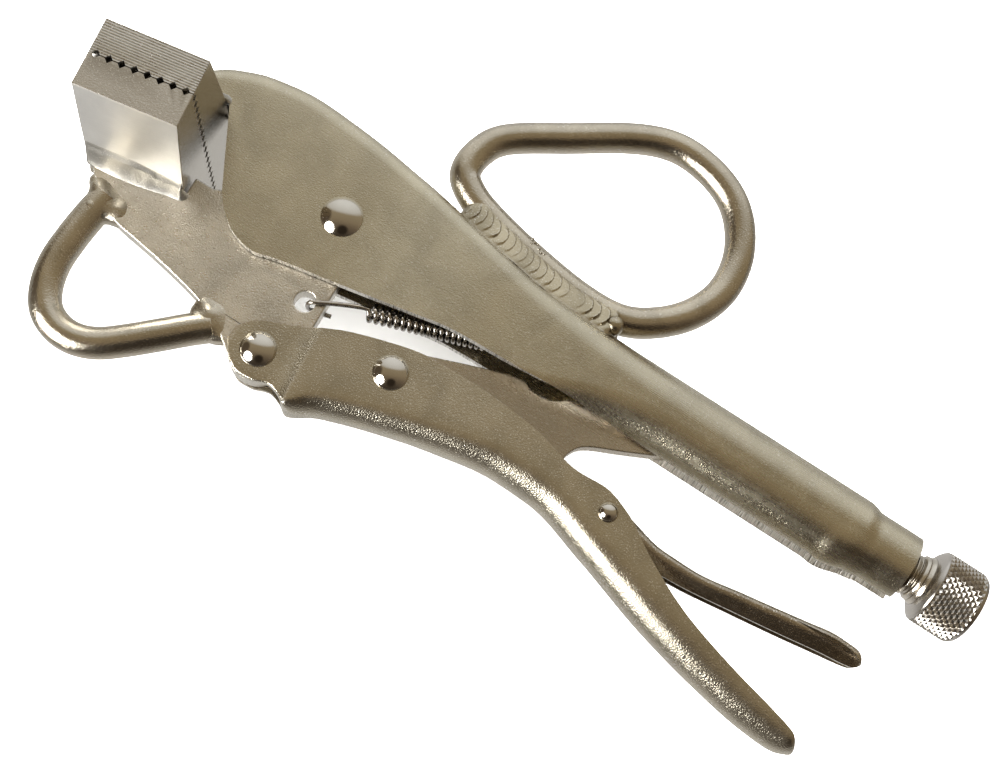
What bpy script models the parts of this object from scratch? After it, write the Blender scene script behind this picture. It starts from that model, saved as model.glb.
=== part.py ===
"""Locking pliers with wide serrated jaws and two welded pull rings.

Every length below is in millimetres and becomes metres when a mesh is made.
The outlines are drawn in the tool's own plane: the main pivot is at (0, 0),
+X runs along the upper handle from the jaws to the knob, +Y points to the back
of the upper handle and Z runs across the jaws, with 0 in the middle plane.
World position = tool position + ORIGIN_SHIFT, so the jaws stand on z = 0.
"""
from math import atan2, cos, hypot, pi, radians, sin

import bmesh
import bpy
from mathutils import Vector

MM = 0.001
GAP = 0.3                     # between pieces that touch
SHEET = 2.2                   # folded sheet of both handles
PLATE_HALF = 2.6              # half thickness of the lower jaw plate and the tang
LINK_HALF = 2.3               # half thickness of the toggle link
BAR_RADIUS = 4.0              # round bar of both pull rings

PIVOT = (0.0, 0.0)            # main rivet
JAW_HANDLE = (2.4, -39.0)     # rivet between the lower jaw and the lower handle
TOGGLE = (31.8, -26.7)        # rivet between the lower handle and the link
LEVER_PIVOT = (92.9, -26.8)   # small rivet of the release lever
TOOL_AXIS_Y = 3.0             # axis of the tube, the screw and the knob

JAW_FRONT = (-63.0, -8.4)     # front end of the parting line
JAW_ANGLE = radians(10.6)     # parting line against the tube axis
JAW_LENGTH = 25.7
JAW_HALF_WIDTH = 33.4         # the jaws are 66.8 mm wide
JAW_UPPER_TIP = 9.1           # thickness of the upper block at its two ends
JAW_LOWER_TIP = 8.7
JAW_TAPER = 0.13              # thickening per mm from the ends to the middle
JAW_FLAT_HALF = 5.0           # half width of the flat middle of a block's back
GROOVE_PITCH = 3.14
GROOVE_COUNT = 8
GROOVE_HALF = 0.9
GROOVE_DEPTH = 0.95

HOLE_CLEARANCE = 0.3
MAIN_PIN_RADIUS = 3.4
SIDE_PIN_RADIUS = 2.9
LEVER_PIN_RADIUS = 1.5

KNOB_START = 168.0
KNOB_LENGTH = 13.3
KNOB_RADIUS = 9.8
SCREW_RADIUS = 5.6
SCREW_TIP = 113.2
THREAD_PITCH = 1.5

ORIGIN_SHIFT = (-57.973, -3.251, JAW_HALF_WIDTH)

ROUND_STEPS = 28


# ---------------------------------------------------------------- curves

def smooth(x, start, end):
    """0 before start, 1 after end, a smooth step between."""
    t = min(1.0, max(0.0, (x - start) / (end - start)))
    return t * t * (3.0 - 2.0 * t)


def profile(points):
    """Return a function y(x) that passes through the points without overshoot."""
    xs = [p[0] for p in points]
    ys = [p[1] for p in points]
    steps = [(ys[i + 1] - ys[i]) / (xs[i + 1] - xs[i]) for i in range(len(xs) - 1)]
    slopes = [steps[0]]
    for before, after in zip(steps, steps[1:]):
        same_way = before * after > 0.0
        slopes.append(2.0 * before * after / (before + after) if same_way else 0.0)
    slopes.append(steps[-1])

    def value(x):
        i = 0
        while i < len(xs) - 2 and x > xs[i + 1]:
            i += 1
        width = xs[i + 1] - xs[i]
        t = min(1.0, max(0.0, (x - xs[i]) / width))
        a = (1.0 + 2.0 * t) * (1.0 - t) ** 2 * ys[i] + t * t * (3.0 - 2.0 * t) * ys[i + 1]
        b = width * (t * (1.0 - t) ** 2 * slopes[i] - t * t * (1.0 - t) * slopes[i + 1])
        return a + b

    return value


def spline(points, per_span, closed=False):
    """Catmull-Rom curve through 2-D points."""
    count = len(points)
    spans = count if closed else count - 1

    def point(i):
        if closed:
            return Vector(points[i % count])
        return Vector(points[min(count - 1, max(0, i))])

    curve = []
    for i in range(spans):
        p0, p1, p2, p3 = (point(i + k) for k in (-1, 0, 1, 2))
        for step in range(per_span):
            t = step / per_span
            curve.append(0.5 * (2 * p1 + (p2 - p0) * t
                                + (2 * p0 - 5 * p1 + 4 * p2 - p3) * t * t
                                + (3 * p1 - p0 - 3 * p2 + p3) * t ** 3))
    if not closed:
        curve.append(Vector(points[-1]))
    return curve


def arc(centre, radius, start_deg, end_deg, steps):
    """Points on a circle, both ends included."""
    points = []
    for i in range(steps + 1):
        angle = radians(start_deg + (end_deg - start_deg) * i / steps)
        points.append((centre[0] + radius * cos(angle), centre[1] + radius * sin(angle)))
    return points


def jaw_point(along, across):
    """Tool position of a place given along and across the parting line."""
    return (JAW_FRONT[0] + along * cos(JAW_ANGLE) - across * sin(JAW_ANGLE),
            JAW_FRONT[1] + along * sin(JAW_ANGLE) + across * cos(JAW_ANGLE))


# ---------------------------------------------------------------- meshes

def clear_scene():
    for item in list(bpy.data.objects):
        bpy.data.objects.remove(item, do_unlink=True)


def make_material(name, colour, roughness, metallic):
    material = bpy.data.materials.new(name)
    material.use_nodes = True
    shader = material.node_tree.nodes["Principled BSDF"]
    shader.inputs["Base Color"].default_value = (*colour, 1.0)
    shader.inputs["Roughness"].default_value = roughness
    shader.inputs["Metallic"].default_value = metallic
    return material


FINISHES = {
    "nickel_sheet": ((0.42, 0.38, 0.30), 0.42, 1.0),
    "nickel_bar": ((0.40, 0.36, 0.29), 0.30, 1.0),
    "ground_steel": ((0.48, 0.45, 0.39), 0.38, 1.0),
    "rivet_steel": ((0.50, 0.46, 0.40), 0.22, 1.0),
    "weld_steel": ((0.38, 0.35, 0.29), 0.34, 1.0),
    "screw_steel": ((0.46, 0.42, 0.37), 0.30, 1.0),
    "spring_wire": ((0.30, 0.28, 0.25), 0.30, 1.0),
}


def add_part(name, mesh_data, finish, pivot=(0.0, 0.0), round_piece=False):
    """Make an object from a bmesh in tool millimetres, its origin on its own pivot."""
    offset = Vector((pivot[0], pivot[1], 0.0))
    for vertex in mesh_data.verts:
        vertex.co = (vertex.co - offset) * MM
    bmesh.ops.recalc_face_normals(mesh_data, faces=mesh_data.faces)
    mesh = bpy.data.meshes.new(name)
    mesh_data.to_mesh(mesh)
    mesh_data.free()
    piece = bpy.data.objects.new(name, mesh)
    bpy.context.collection.objects.link(piece)
    piece.location = (offset + Vector(ORIGIN_SHIFT)) * MM
    piece.data.materials.append(make_material(name, *FINISHES[finish]))
    if round_piece:
        mesh.shade_smooth()
        mesh.set_sharp_from_angle(angle=radians(35))
    return piece


def loft(rings, close_ends=True):
    """Skin closed rings of equal length; the ends are capped."""
    mesh_data = bmesh.new()
    rows = [[mesh_data.verts.new(point) for point in ring] for ring in rings]
    pairs = list(zip(rows, rows[1:]))
    if not close_ends:
        pairs.append((rows[-1], rows[0]))
    for lower, upper in pairs:
        count = len(lower)
        for i in range(count):
            k = (i + 1) % count
            mesh_data.faces.new((lower[i], lower[k], upper[k], upper[i]))
    if close_ends:
        mesh_data.faces.new(list(reversed(rows[0])))
        mesh_data.faces.new(rows[-1])
    return mesh_data


def prism(outline, low, high):
    """A flat plate: the outline between two heights."""
    return loft([[(x, y, z) for x, y in outline] for z in (low, high)])


def turned(profile_points, steps, place):
    """Revolve (height, radius) pairs; the first and last radius are 0."""
    mesh_data = bmesh.new()
    first = mesh_data.verts.new(place(profile_points[0][0], 0.0, 0.0))
    last = mesh_data.verts.new(place(profile_points[-1][0], 0.0, 0.0))
    rows = []
    for height, radius in profile_points[1:-1]:
        row = [mesh_data.verts.new(place(height, radius, 2.0 * pi * i / steps)) for i in range(steps)]
        rows.append(row)
    for lower, upper in zip(rows, rows[1:]):
        for i in range(steps):
            k = (i + 1) % steps
            mesh_data.faces.new((lower[i], lower[k], upper[k], upper[i]))
    for i in range(steps):
        k = (i + 1) % steps
        mesh_data.faces.new((first, rows[0][k], rows[0][i]))
        mesh_data.faces.new((last, rows[-1][i], rows[-1][k]))
    return mesh_data


def around_z(centre):
    return lambda height, radius, angle: (centre[0] + radius * cos(angle),
                                          centre[1] + radius * sin(angle), height)


def around_x(axis_y):
    return lambda height, radius, angle: (height, axis_y + radius * cos(angle), radius * sin(angle))


def tube(path, radius, sides, closed=False):
    """A round bar along a flat path at z = 0."""
    rings = []
    count = len(path)
    for i, point in enumerate(path):
        before = path[(i - 1) % count] if closed or i > 0 else point
        after = path[(i + 1) % count] if closed or i < count - 1 else point
        direction = (after - before).normalized()
        side = Vector((-direction.y, direction.x))
        ring = []
        for k in range(sides):
            angle = 2.0 * pi * k / sides
            flat = point + side * (radius * cos(angle))
            ring.append((flat.x, flat.y, radius * sin(angle)))
        rings.append(ring)
    return loft(rings, close_ends=not closed)


# ---------------------------------------------------------------- booleans

def grown(outline, distance):
    """A closed outline moved outward by a distance; it may run either way round."""
    points = [Vector(point) for point in outline]
    count = len(points)
    area = sum(points[i].x * points[(i + 1) % count].y - points[(i + 1) % count].x * points[i].y
               for i in range(count))
    turn = 1.0 if area > 0.0 else -1.0
    result = []
    for i, point in enumerate(points):
        before = (point - points[i - 1]).normalized()
        after = (points[(i + 1) % count] - point).normalized()
        normal = Vector((before.y + after.y, -before.x - after.x)).normalized() * turn
        lean = max(0.5, normal.dot(Vector((before.y, -before.x)) * turn))
        result.append(tuple(point + normal * (distance / lean)))
    return result


def cutter(name, mesh_data):
    """A hidden guide that is only there to cut."""
    piece = add_part(name, mesh_data, "ground_steel")
    piece.hide_render = True
    piece.display_type = "WIRE"
    return piece


def cut(piece, tools):
    for tool in tools:
        modifier = piece.modifiers.new(tool.name, "BOOLEAN")
        modifier.operation = "DIFFERENCE"
        modifier.solver = "EXACT"
        modifier.object = tool


def drill(name, centre, radius):
    """A round through hole across the whole tool."""
    depth = 12.0
    points = [(-depth, 0.0), (-depth, radius), (depth, radius), (depth, 0.0)]
    return cutter(name, turned(points, ROUND_STEPS, around_z(centre)))


# ---------------------------------------------------------------- folded sheet

def half_section(top, low, half_width, corner, bend_radius, bend):
    """Outer half of a folded channel from its middle line to its lip, as (z, y) points."""
    corner_z, corner_y = corner
    points = [Vector((0.0, top))]
    for i in range(9):
        angle = 0.5 * pi * (1.0 - i / 8)
        points.append(Vector((half_width - corner_z + corner_z * cos(angle),
                              top - corner_y + corner_y * sin(angle))))
    centre_y = low + bend_radius * sin(bend)
    for i in range(9):
        angle = bend * i / 8
        points.append(Vector((half_width - bend_radius + bend_radius * cos(angle),
                              centre_y - bend_radius * sin(angle))))
    return points


def even_points(points, count):
    """Resample a polyline to evenly spaced points."""
    lengths = [0.0]
    for before, after in zip(points, points[1:]):
        lengths.append(lengths[-1] + (after - before).length)
    result = []
    i = 0
    for k in range(count + 1):
        target = lengths[-1] * k / count
        while i < len(points) - 2 and lengths[i + 1] < target:
            i += 1
        span = lengths[i + 1] - lengths[i]
        t = 0.0 if span < 1e-9 else (target - lengths[i]) / span
        result.append(points[i].lerp(points[i + 1], min(1.0, t)))
    return result


def channel_ring(x, flip, count, thickness, top, low, half_width, corner, bend_radius, bend):
    """One closed section of a folded channel; flip = -1 opens it towards +Y."""
    outer = even_points(half_section(top, low, half_width, corner, bend_radius, bend), count)
    inner_corner = tuple(max(0.3, size - thickness) for size in corner)
    inner_bend = bend_radius - thickness
    inner = even_points(half_section(top - thickness, low + thickness * sin(bend), half_width - thickness,
                                     inner_corner, inner_bend, bend), count)
    loop = list(reversed(outer)) + [Vector((-p.x, p.y)) for p in outer[1:]]
    loop += [Vector((-p.x, p.y)) for p in reversed(inner)] + inner[1:]
    return [(x, flip * p.y, p.x) for p in loop]


def stations(edges):
    """X positions from (end, step) pairs, starting at the first end."""
    xs = [edges[0][0]]
    for (start, _), (end, step) in zip(edges, edges[1:]):
        count = max(1, round((end - start) / step))
        xs += [start + (end - start) * (i + 1) / count for i in range(count)]
    return xs


SHELL_TOP = profile([(-61, 8.8), (-52, 12.8), (-44.8, 18.4), (-34.4, 22.5), (-22, 24.1), (-7.4, 23.3),
                     (12.6, 20.5), (26, 17.6), (39.5, 14.9), (54, 13.1), (75, 12.7), (147, 12.7)])
SHELL_LOW = profile([(-27.6, -11), (-24, -15), (-19, -18.3), (-13, -19.6), (-7.9, -18.2), (8.8, -14.9),
                     (29.3, -11.3), (38, -9.9), (57, -9), (75, -7.9), (96, -7.4), (147, -7.4)])
SHELL_FRONT = -61.0
SHELL_REAR = 162.5
NECK_START = 147.0
NECK_END_STEP = 150.0
WALL_TOP_X = -39.5            # the side walls' slanted front edge runs from here
WALL_LOW_X = -27.6            # down to here


def shell_low(x):
    """Lower edge of the upper handle: over the block, down behind it, then back."""
    roof = jaw_point(0.0, block_back(1) + GAP)
    over_block = roof[1] + (x - roof[0]) * sin(JAW_ANGLE) / cos(JAW_ANGLE)
    if x <= WALL_TOP_X:
        return over_block
    if x < WALL_LOW_X:
        start = roof[1] + (WALL_TOP_X - roof[0]) * sin(JAW_ANGLE) / cos(JAW_ANGLE)
        share = (x - WALL_TOP_X) / (WALL_LOW_X - WALL_TOP_X)
        return start + (SHELL_LOW(WALL_LOW_X) - start) * share
    return SHELL_LOW(x)


def shell_ring(x):
    neck = smooth(x, NECK_START, NECK_END_STEP)
    half_width = 5.1 + 3.3 * smooth(x, 4.0, 44.0) + 0.9 * smooth(x, 40.0, 80.0) - 0.7 * neck
    top = SHELL_TOP(x) - 0.95 * neck
    low = shell_low(x) + 2.0 * neck
    rear = smooth(x, 20.0, 90.0)
    height = top - low
    corner_y = min(0.6 * height, 3.4 + (half_width - 3.4) * rear)
    corner_z = min(half_width - 0.3, 4.0 + (half_width - 4.0) * rear)
    bend = radians(72.0) * smooth(x, 50.0, 96.0)
    return channel_ring(x, 1, 9, SHEET, top=top, low=low, half_width=half_width,
                        corner=(corner_z, corner_y), bend_radius=half_width - 0.3, bend=bend)


def build_upper_handle_shell():
    xs = stations([(SHELL_FRONT, 0), (WALL_TOP_X, 4.1), (WALL_LOW_X, 4.4), (-13, 3.7), (50, 7), (96, 5.8),
                   (NECK_START, 17), (NECK_END_STEP, 1.0), (SHELL_REAR, 6.3)])
    shell = add_part("upper_handle_shell", loft([shell_ring(x) for x in xs]), "nickel_sheet", round_piece=True)
    cut(shell, [drill("cut_main", PIVOT, MAIN_PIN_RADIUS + HOLE_CLEARANCE)])
    return shell


# ---------------------------------------------------------------- upper jaw

def block_back(side):
    """Thickness of a block in the middle of its width; side is 1 above and -1 below."""
    tip = JAW_UPPER_TIP if side > 0 else JAW_LOWER_TIP
    return tip + JAW_TAPER * (JAW_HALF_WIDTH - JAW_FLAT_HALF)


def jaw_block(name, side, pivot):
    """A wide bar with grooves along Z and a back that rises to the middle."""
    tip = JAW_UPPER_TIP if side > 0 else JAW_LOWER_TIP
    margin = 0.5 * (JAW_LENGTH - GROOVE_PITCH * (GROOVE_COUNT - 1))
    face = [(0.0, 0.5 * GAP)]
    for i in range(GROOVE_COUNT):
        middle = margin + GROOVE_PITCH * i
        face += [(middle - GROOVE_HALF, 0.5 * GAP), (middle, 0.5 * GAP + GROOVE_DEPTH),
                 (middle + GROOVE_HALF, 0.5 * GAP)]
    face.append((JAW_LENGTH, 0.5 * GAP))
    rings = []
    for z in (-JAW_HALF_WIDTH, -JAW_FLAT_HALF, JAW_FLAT_HALF, JAW_HALF_WIDTH):
        back = tip if abs(z) > JAW_FLAT_HALF else block_back(side)
        outline = face + [(JAW_LENGTH, back), (0.0, back)]
        rings.append([(*jaw_point(along, side * across), z) for along, across in outline])
    return add_part(name, loft(rings), "ground_steel", pivot)


def build_upper_jaw_tang():
    under = 2.0 * GAP + block_back(1)
    front = [jaw_point(10.0, under), jaw_point(JAW_LENGTH - 1.0, under)]
    rear = [(-30.0, 8.0), (-20.0, 10.5), (-13.0, 13.5)]
    corner_drop = 2.0
    xs = [-13.0, -22.0, -30.0, -36.0, -41.0, -46.0, -50.0]
    roof = [(x, SHELL_TOP(x) - SHEET - GAP - corner_drop) for x in xs]
    return add_part("upper_jaw_tang", prism(front + rear + roof, -PLATE_HALF, PLATE_HALF), "nickel_sheet")


def jaw_weld(name, outline, pivot, side):
    """A fillet along the jaw: outline holds (z, across) points."""
    rings = []
    for along in (1.2, JAW_LENGTH - 2.4):
        rings.append([(*jaw_point(along, across), side * z) for z, across in outline])
    return add_part(name, loft(rings), "weld_steel", pivot)


def build_upper_jaw_welds():
    back = block_back(1)
    for word, side in (("left", 1), ("right", -1)):
        outline = [(5.1 + GAP, back + GAP), (9.5, back + GAP - 0.5), (5.1 + GAP, back + 2.6)]
        jaw_weld(f"upper_jaw_weld_{word}", outline, PIVOT, side)


UPPER_RING = [(17.8, 29.3), (18.0, 36.5), (22.0, 43.2), (35.0, 52.7), (49.0, 62.4), (59.0, 66.4),
              (68.5, 66.1), (77.3, 62.9), (83.6, 57.1), (87.8, 48.7), (88.6, 39.0), (85.3, 30.0),
              (79.0, 22.8), (71.0, 18.2), (60.0, 17.3), (45.0, 19.1), (31.0, 22.0), (22.5, 25.0)]


def build_upper_pull_ring():
    path = spline(UPPER_RING, 3, closed=True)
    return add_part("upper_pull_ring", tube(path, BAR_RADIUS, 12, closed=True), "nickel_bar", round_piece=True)


def build_upper_ring_welds():
    """A bead on each side in the corner between the ring's lower run and the shell."""
    for word, side in (("left", 1), ("right", -1)):
        rings = []
        for i in range(9):
            x = 27.0 + 41.0 * i / 8
            bar_y = profile([(22.5, 25.0), (31.0, 22.0), (45.0, 19.1), (60.0, 17.3), (71.0, 18.2)])(x)
            ring = []
            for k in range(8):
                angle = 2.0 * pi * k / 8
                ring.append((x, bar_y - 3.1 + 1.05 * cos(angle), side * (4.35 + 1.05 * sin(angle))))
            rings.append(ring)
        add_part(f"upper_ring_weld_{word}", loft(rings), "weld_steel", round_piece=True)


# ---------------------------------------------------------------- lower jaw

def jaw_plate_outline():
    under = -(block_back(-1) + GAP)
    behind = JAW_LENGTH + GAP
    outline = [jaw_point(1.0, under), jaw_point(behind, under), jaw_point(behind + 0.6, -7.6),
               (-30.3, -10.9), (-22.0, -6.5), (-14.5, 0.0)]
    outline += arc(PIVOT, 10.4, 150.0, 0.0, 10)
    outline += [(8.7, -14.3), (9.7, -27.0), (9.6, -36.0)]
    outline += arc(JAW_HANDLE, 7.4, 15.0, -120.0, 8)
    outline += [(-8.1, -40.3), (-17.2, -36.3), (-29.1, -33.7), (-38.1, -32.3), (-44.9, -31.2),
                (-50.5, -28.6), (-56.2, -24.0)]
    return outline


def build_lower_jaw_plate():
    plate = add_part("lower_jaw_plate", prism(jaw_plate_outline(), -PLATE_HALF, PLATE_HALF), "nickel_sheet",
                     PIVOT)
    cut(plate, [drill("cut_jaw_main", PIVOT, MAIN_PIN_RADIUS + HOLE_CLEARANCE),
                drill("cut_jaw_handle", JAW_HANDLE, SIDE_PIN_RADIUS + HOLE_CLEARANCE),
                drill("cut_spring_hole", (4.3, -22.4), 2.6)])
    return plate


def build_lower_jaw_welds():
    back = block_back(-1)
    for word, side in (("left", 1), ("right", -1)):
        outline = [(PLATE_HALF + GAP, -back - GAP), (JAW_FLAT_HALF, -back - GAP),
                   (10.5, -back + 0.35), (PLATE_HALF + GAP, -back - 2.0)]
        jaw_weld(f"lower_jaw_weld_{word}", outline, PIVOT, side)


LOWER_RING = [(-50.9, -26.6), (-51.4, -33.0), (-51.5, -40.0), (-51.0, -47.0), (-49.0, -53.2), (-45.6, -57.8),
              (-40.8, -60.0), (-35.8, -60.0), (-30.9, -58.0), (-26.0, -54.0), (-20.2, -48.4), (-15.0, -43.2),
              (-10.9, -39.4)]


def build_lower_pull_ring():
    """An open loop whose two ends are slotted over the plate's edge."""
    path = spline(LOWER_RING, 3)
    ring = add_part("lower_pull_ring", tube(path, BAR_RADIUS, 12), "nickel_bar", PIVOT, round_piece=True)
    slot = prism(grown(jaw_plate_outline(), GAP), -PLATE_HALF - GAP, PLATE_HALF + GAP)
    cut(ring, [cutter("cut_ring_slots", slot)])
    return ring


def build_lower_ring_welds():
    """A lump of weld beside each end of the lower ring, on both faces of the plate."""
    for word, centre in (("front", (-45.0, -28.4)), ("rear", (-16.4, -35.0))):
        for side_word, side in (("left", 1), ("right", -1)):
            seat = PLATE_HALF + GAP
            points = [(side * (seat + rise), radius) for rise, radius in
                      ((0.0, 0.0), (0.0, 1.7), (0.7, 1.5), (1.3, 0.9), (1.5, 0.0))]
            add_part(f"lower_ring_weld_{word}_{side_word}", turned(points, 12, around_z(centre)), "weld_steel",
                     PIVOT, round_piece=True)


# ---------------------------------------------------------------- lower handle

HANDLE_OPEN = profile([(-5.2, -37.4), (-4.3, -35.8), (-1.9, -33.4), (1.5, -31.6), (10.9, -27.6), (24.8, -21.4),
                       (38.5, -18.3), (51.6, -18.1), (68.0, -19.3), (82.0, -22.4), (89.0, -22.0),
                       (96.5, -24.2), (106.7, -30.4), (121.1, -37.3), (137.0, -42.3), (151.7, -45.5),
                       (158.8, -49.0)])
HANDLE_BACK = profile([(-5.2, -40.6), (-3.9, -42.6), (-1.4, -45.1), (1.7, -46.4), (4.8, -46.2), (8.4, -44.8),
                       (11.0, -45.6), (14.0, -47.4), (22.0, -44.3), (34.0, -40.2), (50.0, -36.0), (66.0, -33.6), (76.0, -33.9),
                       (93.2, -38.5), (114.4, -45.3), (132.3, -49.5), (146.0, -51.7), (158.8, -51.7)])
EAR_END = 13.4


def handle_ring(x):
    half_width = 5.2 + 1.4 * smooth(x, 8.8, 12.8) + 0.8 * smooth(x, 30.0, 62.0) - 0.8 * smooth(x, 118.0, 158.8)
    top = -HANDLE_BACK(x)
    low = -HANDLE_OPEN(x)
    height = top - low
    rounding = 0.5 + 5.0 * smooth(x, 10.0, 18.0)
    corner = (min(rounding, half_width - 1.0), min(rounding, 0.55 * height))
    return channel_ring(x, -1, 7, SHEET, top=top, low=low, half_width=half_width,
                        corner=corner, bend_radius=3.0, bend=0.0)


def build_lower_handle_shell():
    xs = stations([(-5.2, 0), (-3.9, 1.3), (1.7, 1.9), (4.8, 3.1), (14.0, 1.9), (18.0, 2.0), (82.0, 7.1), (100.0, 4.5),
                   (151.0, 7.3), (158.8, 2.6)])
    shell = add_part("lower_handle_shell", loft([handle_ring(x) for x in xs]), "nickel_sheet",
                     JAW_HANDLE, round_piece=True)
    slot = PLATE_HALF + 2.0 * GAP
    outline = [(-12.0, -60.0), (EAR_END, -60.0), (EAR_END, -10.0), (-12.0, -10.0)]
    cut(shell, [drill("cut_ears", JAW_HANDLE, SIDE_PIN_RADIUS + HOLE_CLEARANCE),
                drill("cut_toggle", TOGGLE, SIDE_PIN_RADIUS + HOLE_CLEARANCE),
                drill("cut_lever_pin", LEVER_PIVOT, LEVER_PIN_RADIUS + HOLE_CLEARANCE),
                cutter("cut_ear_slot", prism(outline, -slot, slot))])
    return shell


def build_toggle_link():
    outline = arc(TOGGLE, 7.2, 120.0, 285.0, 10)
    outline += [(47.0, -30.3), (62.0, -28.2), (73.5, -26.0), (77.0, -22.5), (77.8, -18.4), (80.5, -14.9),
                (89.1, -10.7), (98.0, -6.2), (104.0, -2.4)]
    outline += arc((103.8, 2.2), 4.2, -70.0, 100.0, 9)
    outline += [(94.0, 4.6), (80.0, -0.6), (72.0, -6.2), (68.5, -9.0), (65.5, -10.3), (61.5, -10.1),
                (58.5, -9.1), (50.0, -11.8), (37.8, -16.5)]
    link = add_part("toggle_link", prism(outline, -LINK_HALF, LINK_HALF), "nickel_sheet", TOGGLE)
    cut(link, [drill("cut_link", TOGGLE, SIDE_PIN_RADIUS + HOLE_CLEARANCE)])
    return link


LEVER_TOP = profile([(82.0, -25.4), (88.0, -23.4), (94.0, -23.0), (99.0, -24.0), (109.0, -26.2),
                     (117.0, -26.3), (131.0, -24.5), (154.0, -20.9), (160.0, -21.2), (163.0, -22.6)])
LEVER_LOW = profile([(82.0, -29.2), (94.0, -30.9), (106.0, -31.8), (115.0, -31.4), (131.0, -29.5),
                     (143.0, -27.8), (155.3, -25.6), (163.0, -24.3)])


def lever_ring(x):
    half_width = 4.9 - 2.4 * smooth(x, 154.0, 164.5)
    top = LEVER_TOP(x)
    low = LEVER_LOW(x)
    corner = (min(3.0, half_width - 0.6), min(2.8, 0.6 * (top - low)))
    return channel_ring(x, 1, 6, 1.6, top=top, low=low, half_width=half_width,
                        corner=corner, bend_radius=3.0, bend=0.0)


def build_release_lever():
    xs = stations([(82.0, 0), (94.0, 4.0), (109.0, 5.0), (154.0, 7.5), (163.0, 3.0)])
    lever = add_part("release_lever", loft([lever_ring(x) for x in xs]), "nickel_sheet",
                     LEVER_PIVOT, round_piece=True)
    cut(lever, [drill("cut_lever", LEVER_PIVOT, LEVER_PIN_RADIUS + HOLE_CLEARANCE)])
    return lever


# ---------------------------------------------------------------- rivets

def rivet(name, centre, pin_radius, seat, head_radius, head_height):
    """A pin with a domed head at each end, seated at +-seat."""
    dome = []
    for i in range(5):
        angle = 0.5 * pi * i / 4
        dome.append((seat + head_height * sin(angle), head_radius * cos(angle)))
    top = [(seat, pin_radius)] + dome
    lower = [(-height, radius) for height, radius in reversed(top)]
    points = lower + top
    points[0] = (points[0][0], 0.0)
    points[-1] = (points[-1][0], 0.0)
    return add_part(name, turned(points, ROUND_STEPS, around_z(centre)), "rivet_steel", centre, round_piece=True)


def build_rivets():
    rivet("main_pivot_rivet", PIVOT, MAIN_PIN_RADIUS, 5.1 + GAP, 5.2, 1.9)
    rivet("jaw_handle_rivet", JAW_HANDLE, SIDE_PIN_RADIUS, 5.2 + GAP, 4.4, 1.7)
    rivet("toggle_rivet", TOGGLE, SIDE_PIN_RADIUS, 6.65 + GAP, 4.4, 1.7)
    rivet("release_lever_rivet", LEVER_PIVOT, LEVER_PIN_RADIUS, 7.4 + GAP, 2.4, 1.0)


# ---------------------------------------------------------------- spring, screw, knob

SPRING_START = (18.2, -15.4)
SPRING_END = (46.5, -5.4)
ANCHOR = (62.0, 1.0)


def build_spring():
    """The outer shape of the closed coils, with a straight hook end each way."""
    start = Vector(SPRING_START)
    end = Vector(SPRING_END)
    direction = (end - start).normalized()
    side = Vector((-direction.y, direction.x))
    length = (end - start).length
    lead = (start - Vector((11.2, -19.4))).length
    tail = 13.4
    points = [(-lead, 0.55), (-1.2, 0.55), (0.0, 2.4), (length, 2.4), (length + 1.2, 0.55), (length + tail, 0.55)]
    rings = []
    for height, radius in points:
        ring = []
        for k in range(10):
            angle = 2.0 * pi * k / 10
            flat = start + direction * height + side * (radius * cos(angle))
            ring.append((flat.x, flat.y, radius * sin(angle)))
        rings.append(ring)
    return add_part("tension_spring", loft(rings), "spring_wire", round_piece=True)


def build_spring_anchor():
    reach = 6.0
    points = [(-reach, 0.0), (-reach, 1.4), (reach, 1.4), (reach, 0.0)]
    return add_part("spring_anchor_pin", turned(points, 12, around_z(ANCHOR)), "rivet_steel", round_piece=True)


def build_adjusting_screw():
    """A threaded rod with a plain nose; the thread is drawn as rings."""
    points = [(SCREW_TIP, 0.0), (SCREW_TIP, 3.0), (SCREW_TIP + 1.0, 4.0), (SCREW_TIP + 8.0, 4.2)]
    start = 146.0
    points.append((start - 1.0, 4.9))
    for i in range(12):
        x = start + THREAD_PITCH * i
        points += [(x, 4.9), (x + 0.5 * THREAD_PITCH, SCREW_RADIUS)]
    points += [(start + 12 * THREAD_PITCH, 4.9), (KNOB_START - GAP, 4.9), (KNOB_START - GAP, 0.0)]
    return add_part("adjusting_screw", turned(points, 20, around_x(TOOL_AXIS_Y)), "screw_steel",
                    (KNOB_START, TOOL_AXIS_Y), round_piece=True)


def build_adjusting_knob():
    end = KNOB_START + KNOB_LENGTH
    points = [(KNOB_START, 0.0), (KNOB_START, 7.4), (KNOB_START + 1.2, KNOB_RADIUS - 0.2),
              (KNOB_START + 2.2, KNOB_RADIUS), (end - 2.2, KNOB_RADIUS), (end - 1.2, KNOB_RADIUS - 0.2),
              (end, 7.8), (end, 0.0)]
    return add_part("adjusting_knob", turned(points, 36, around_x(TOOL_AXIS_Y)), "screw_steel",
                    (KNOB_START, TOOL_AXIS_Y), round_piece=True)


def main():
    clear_scene()
    build_upper_handle_shell()
    build_upper_jaw_tang()
    jaw_block("upper_jaw_block", 1, PIVOT)
    build_upper_jaw_welds()
    build_upper_pull_ring()
    build_upper_ring_welds()
    build_lower_jaw_plate()
    jaw_block("lower_jaw_block", -1, PIVOT)
    build_lower_jaw_welds()
    build_lower_pull_ring()
    build_lower_ring_welds()
    build_lower_handle_shell()
    build_toggle_link()
    build_release_lever()
    build_rivets()
    build_spring()
    build_spring_anchor()
    build_adjusting_screw()
    build_adjusting_knob()


main()
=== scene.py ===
"""Looks of the locking pliers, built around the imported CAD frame.

Lengths are millimetres in the tool's own plane until a mesh is made: the main pivot is at (0, 0, 0),
+X runs along the upper handle to the knob, +Y points to its back and Z runs across the jaws.
"left" is the +Z flank and "right" the -Z flank.
"""
from math import atan2, cos, floor, pi, radians, sin, sqrt, tan

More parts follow.
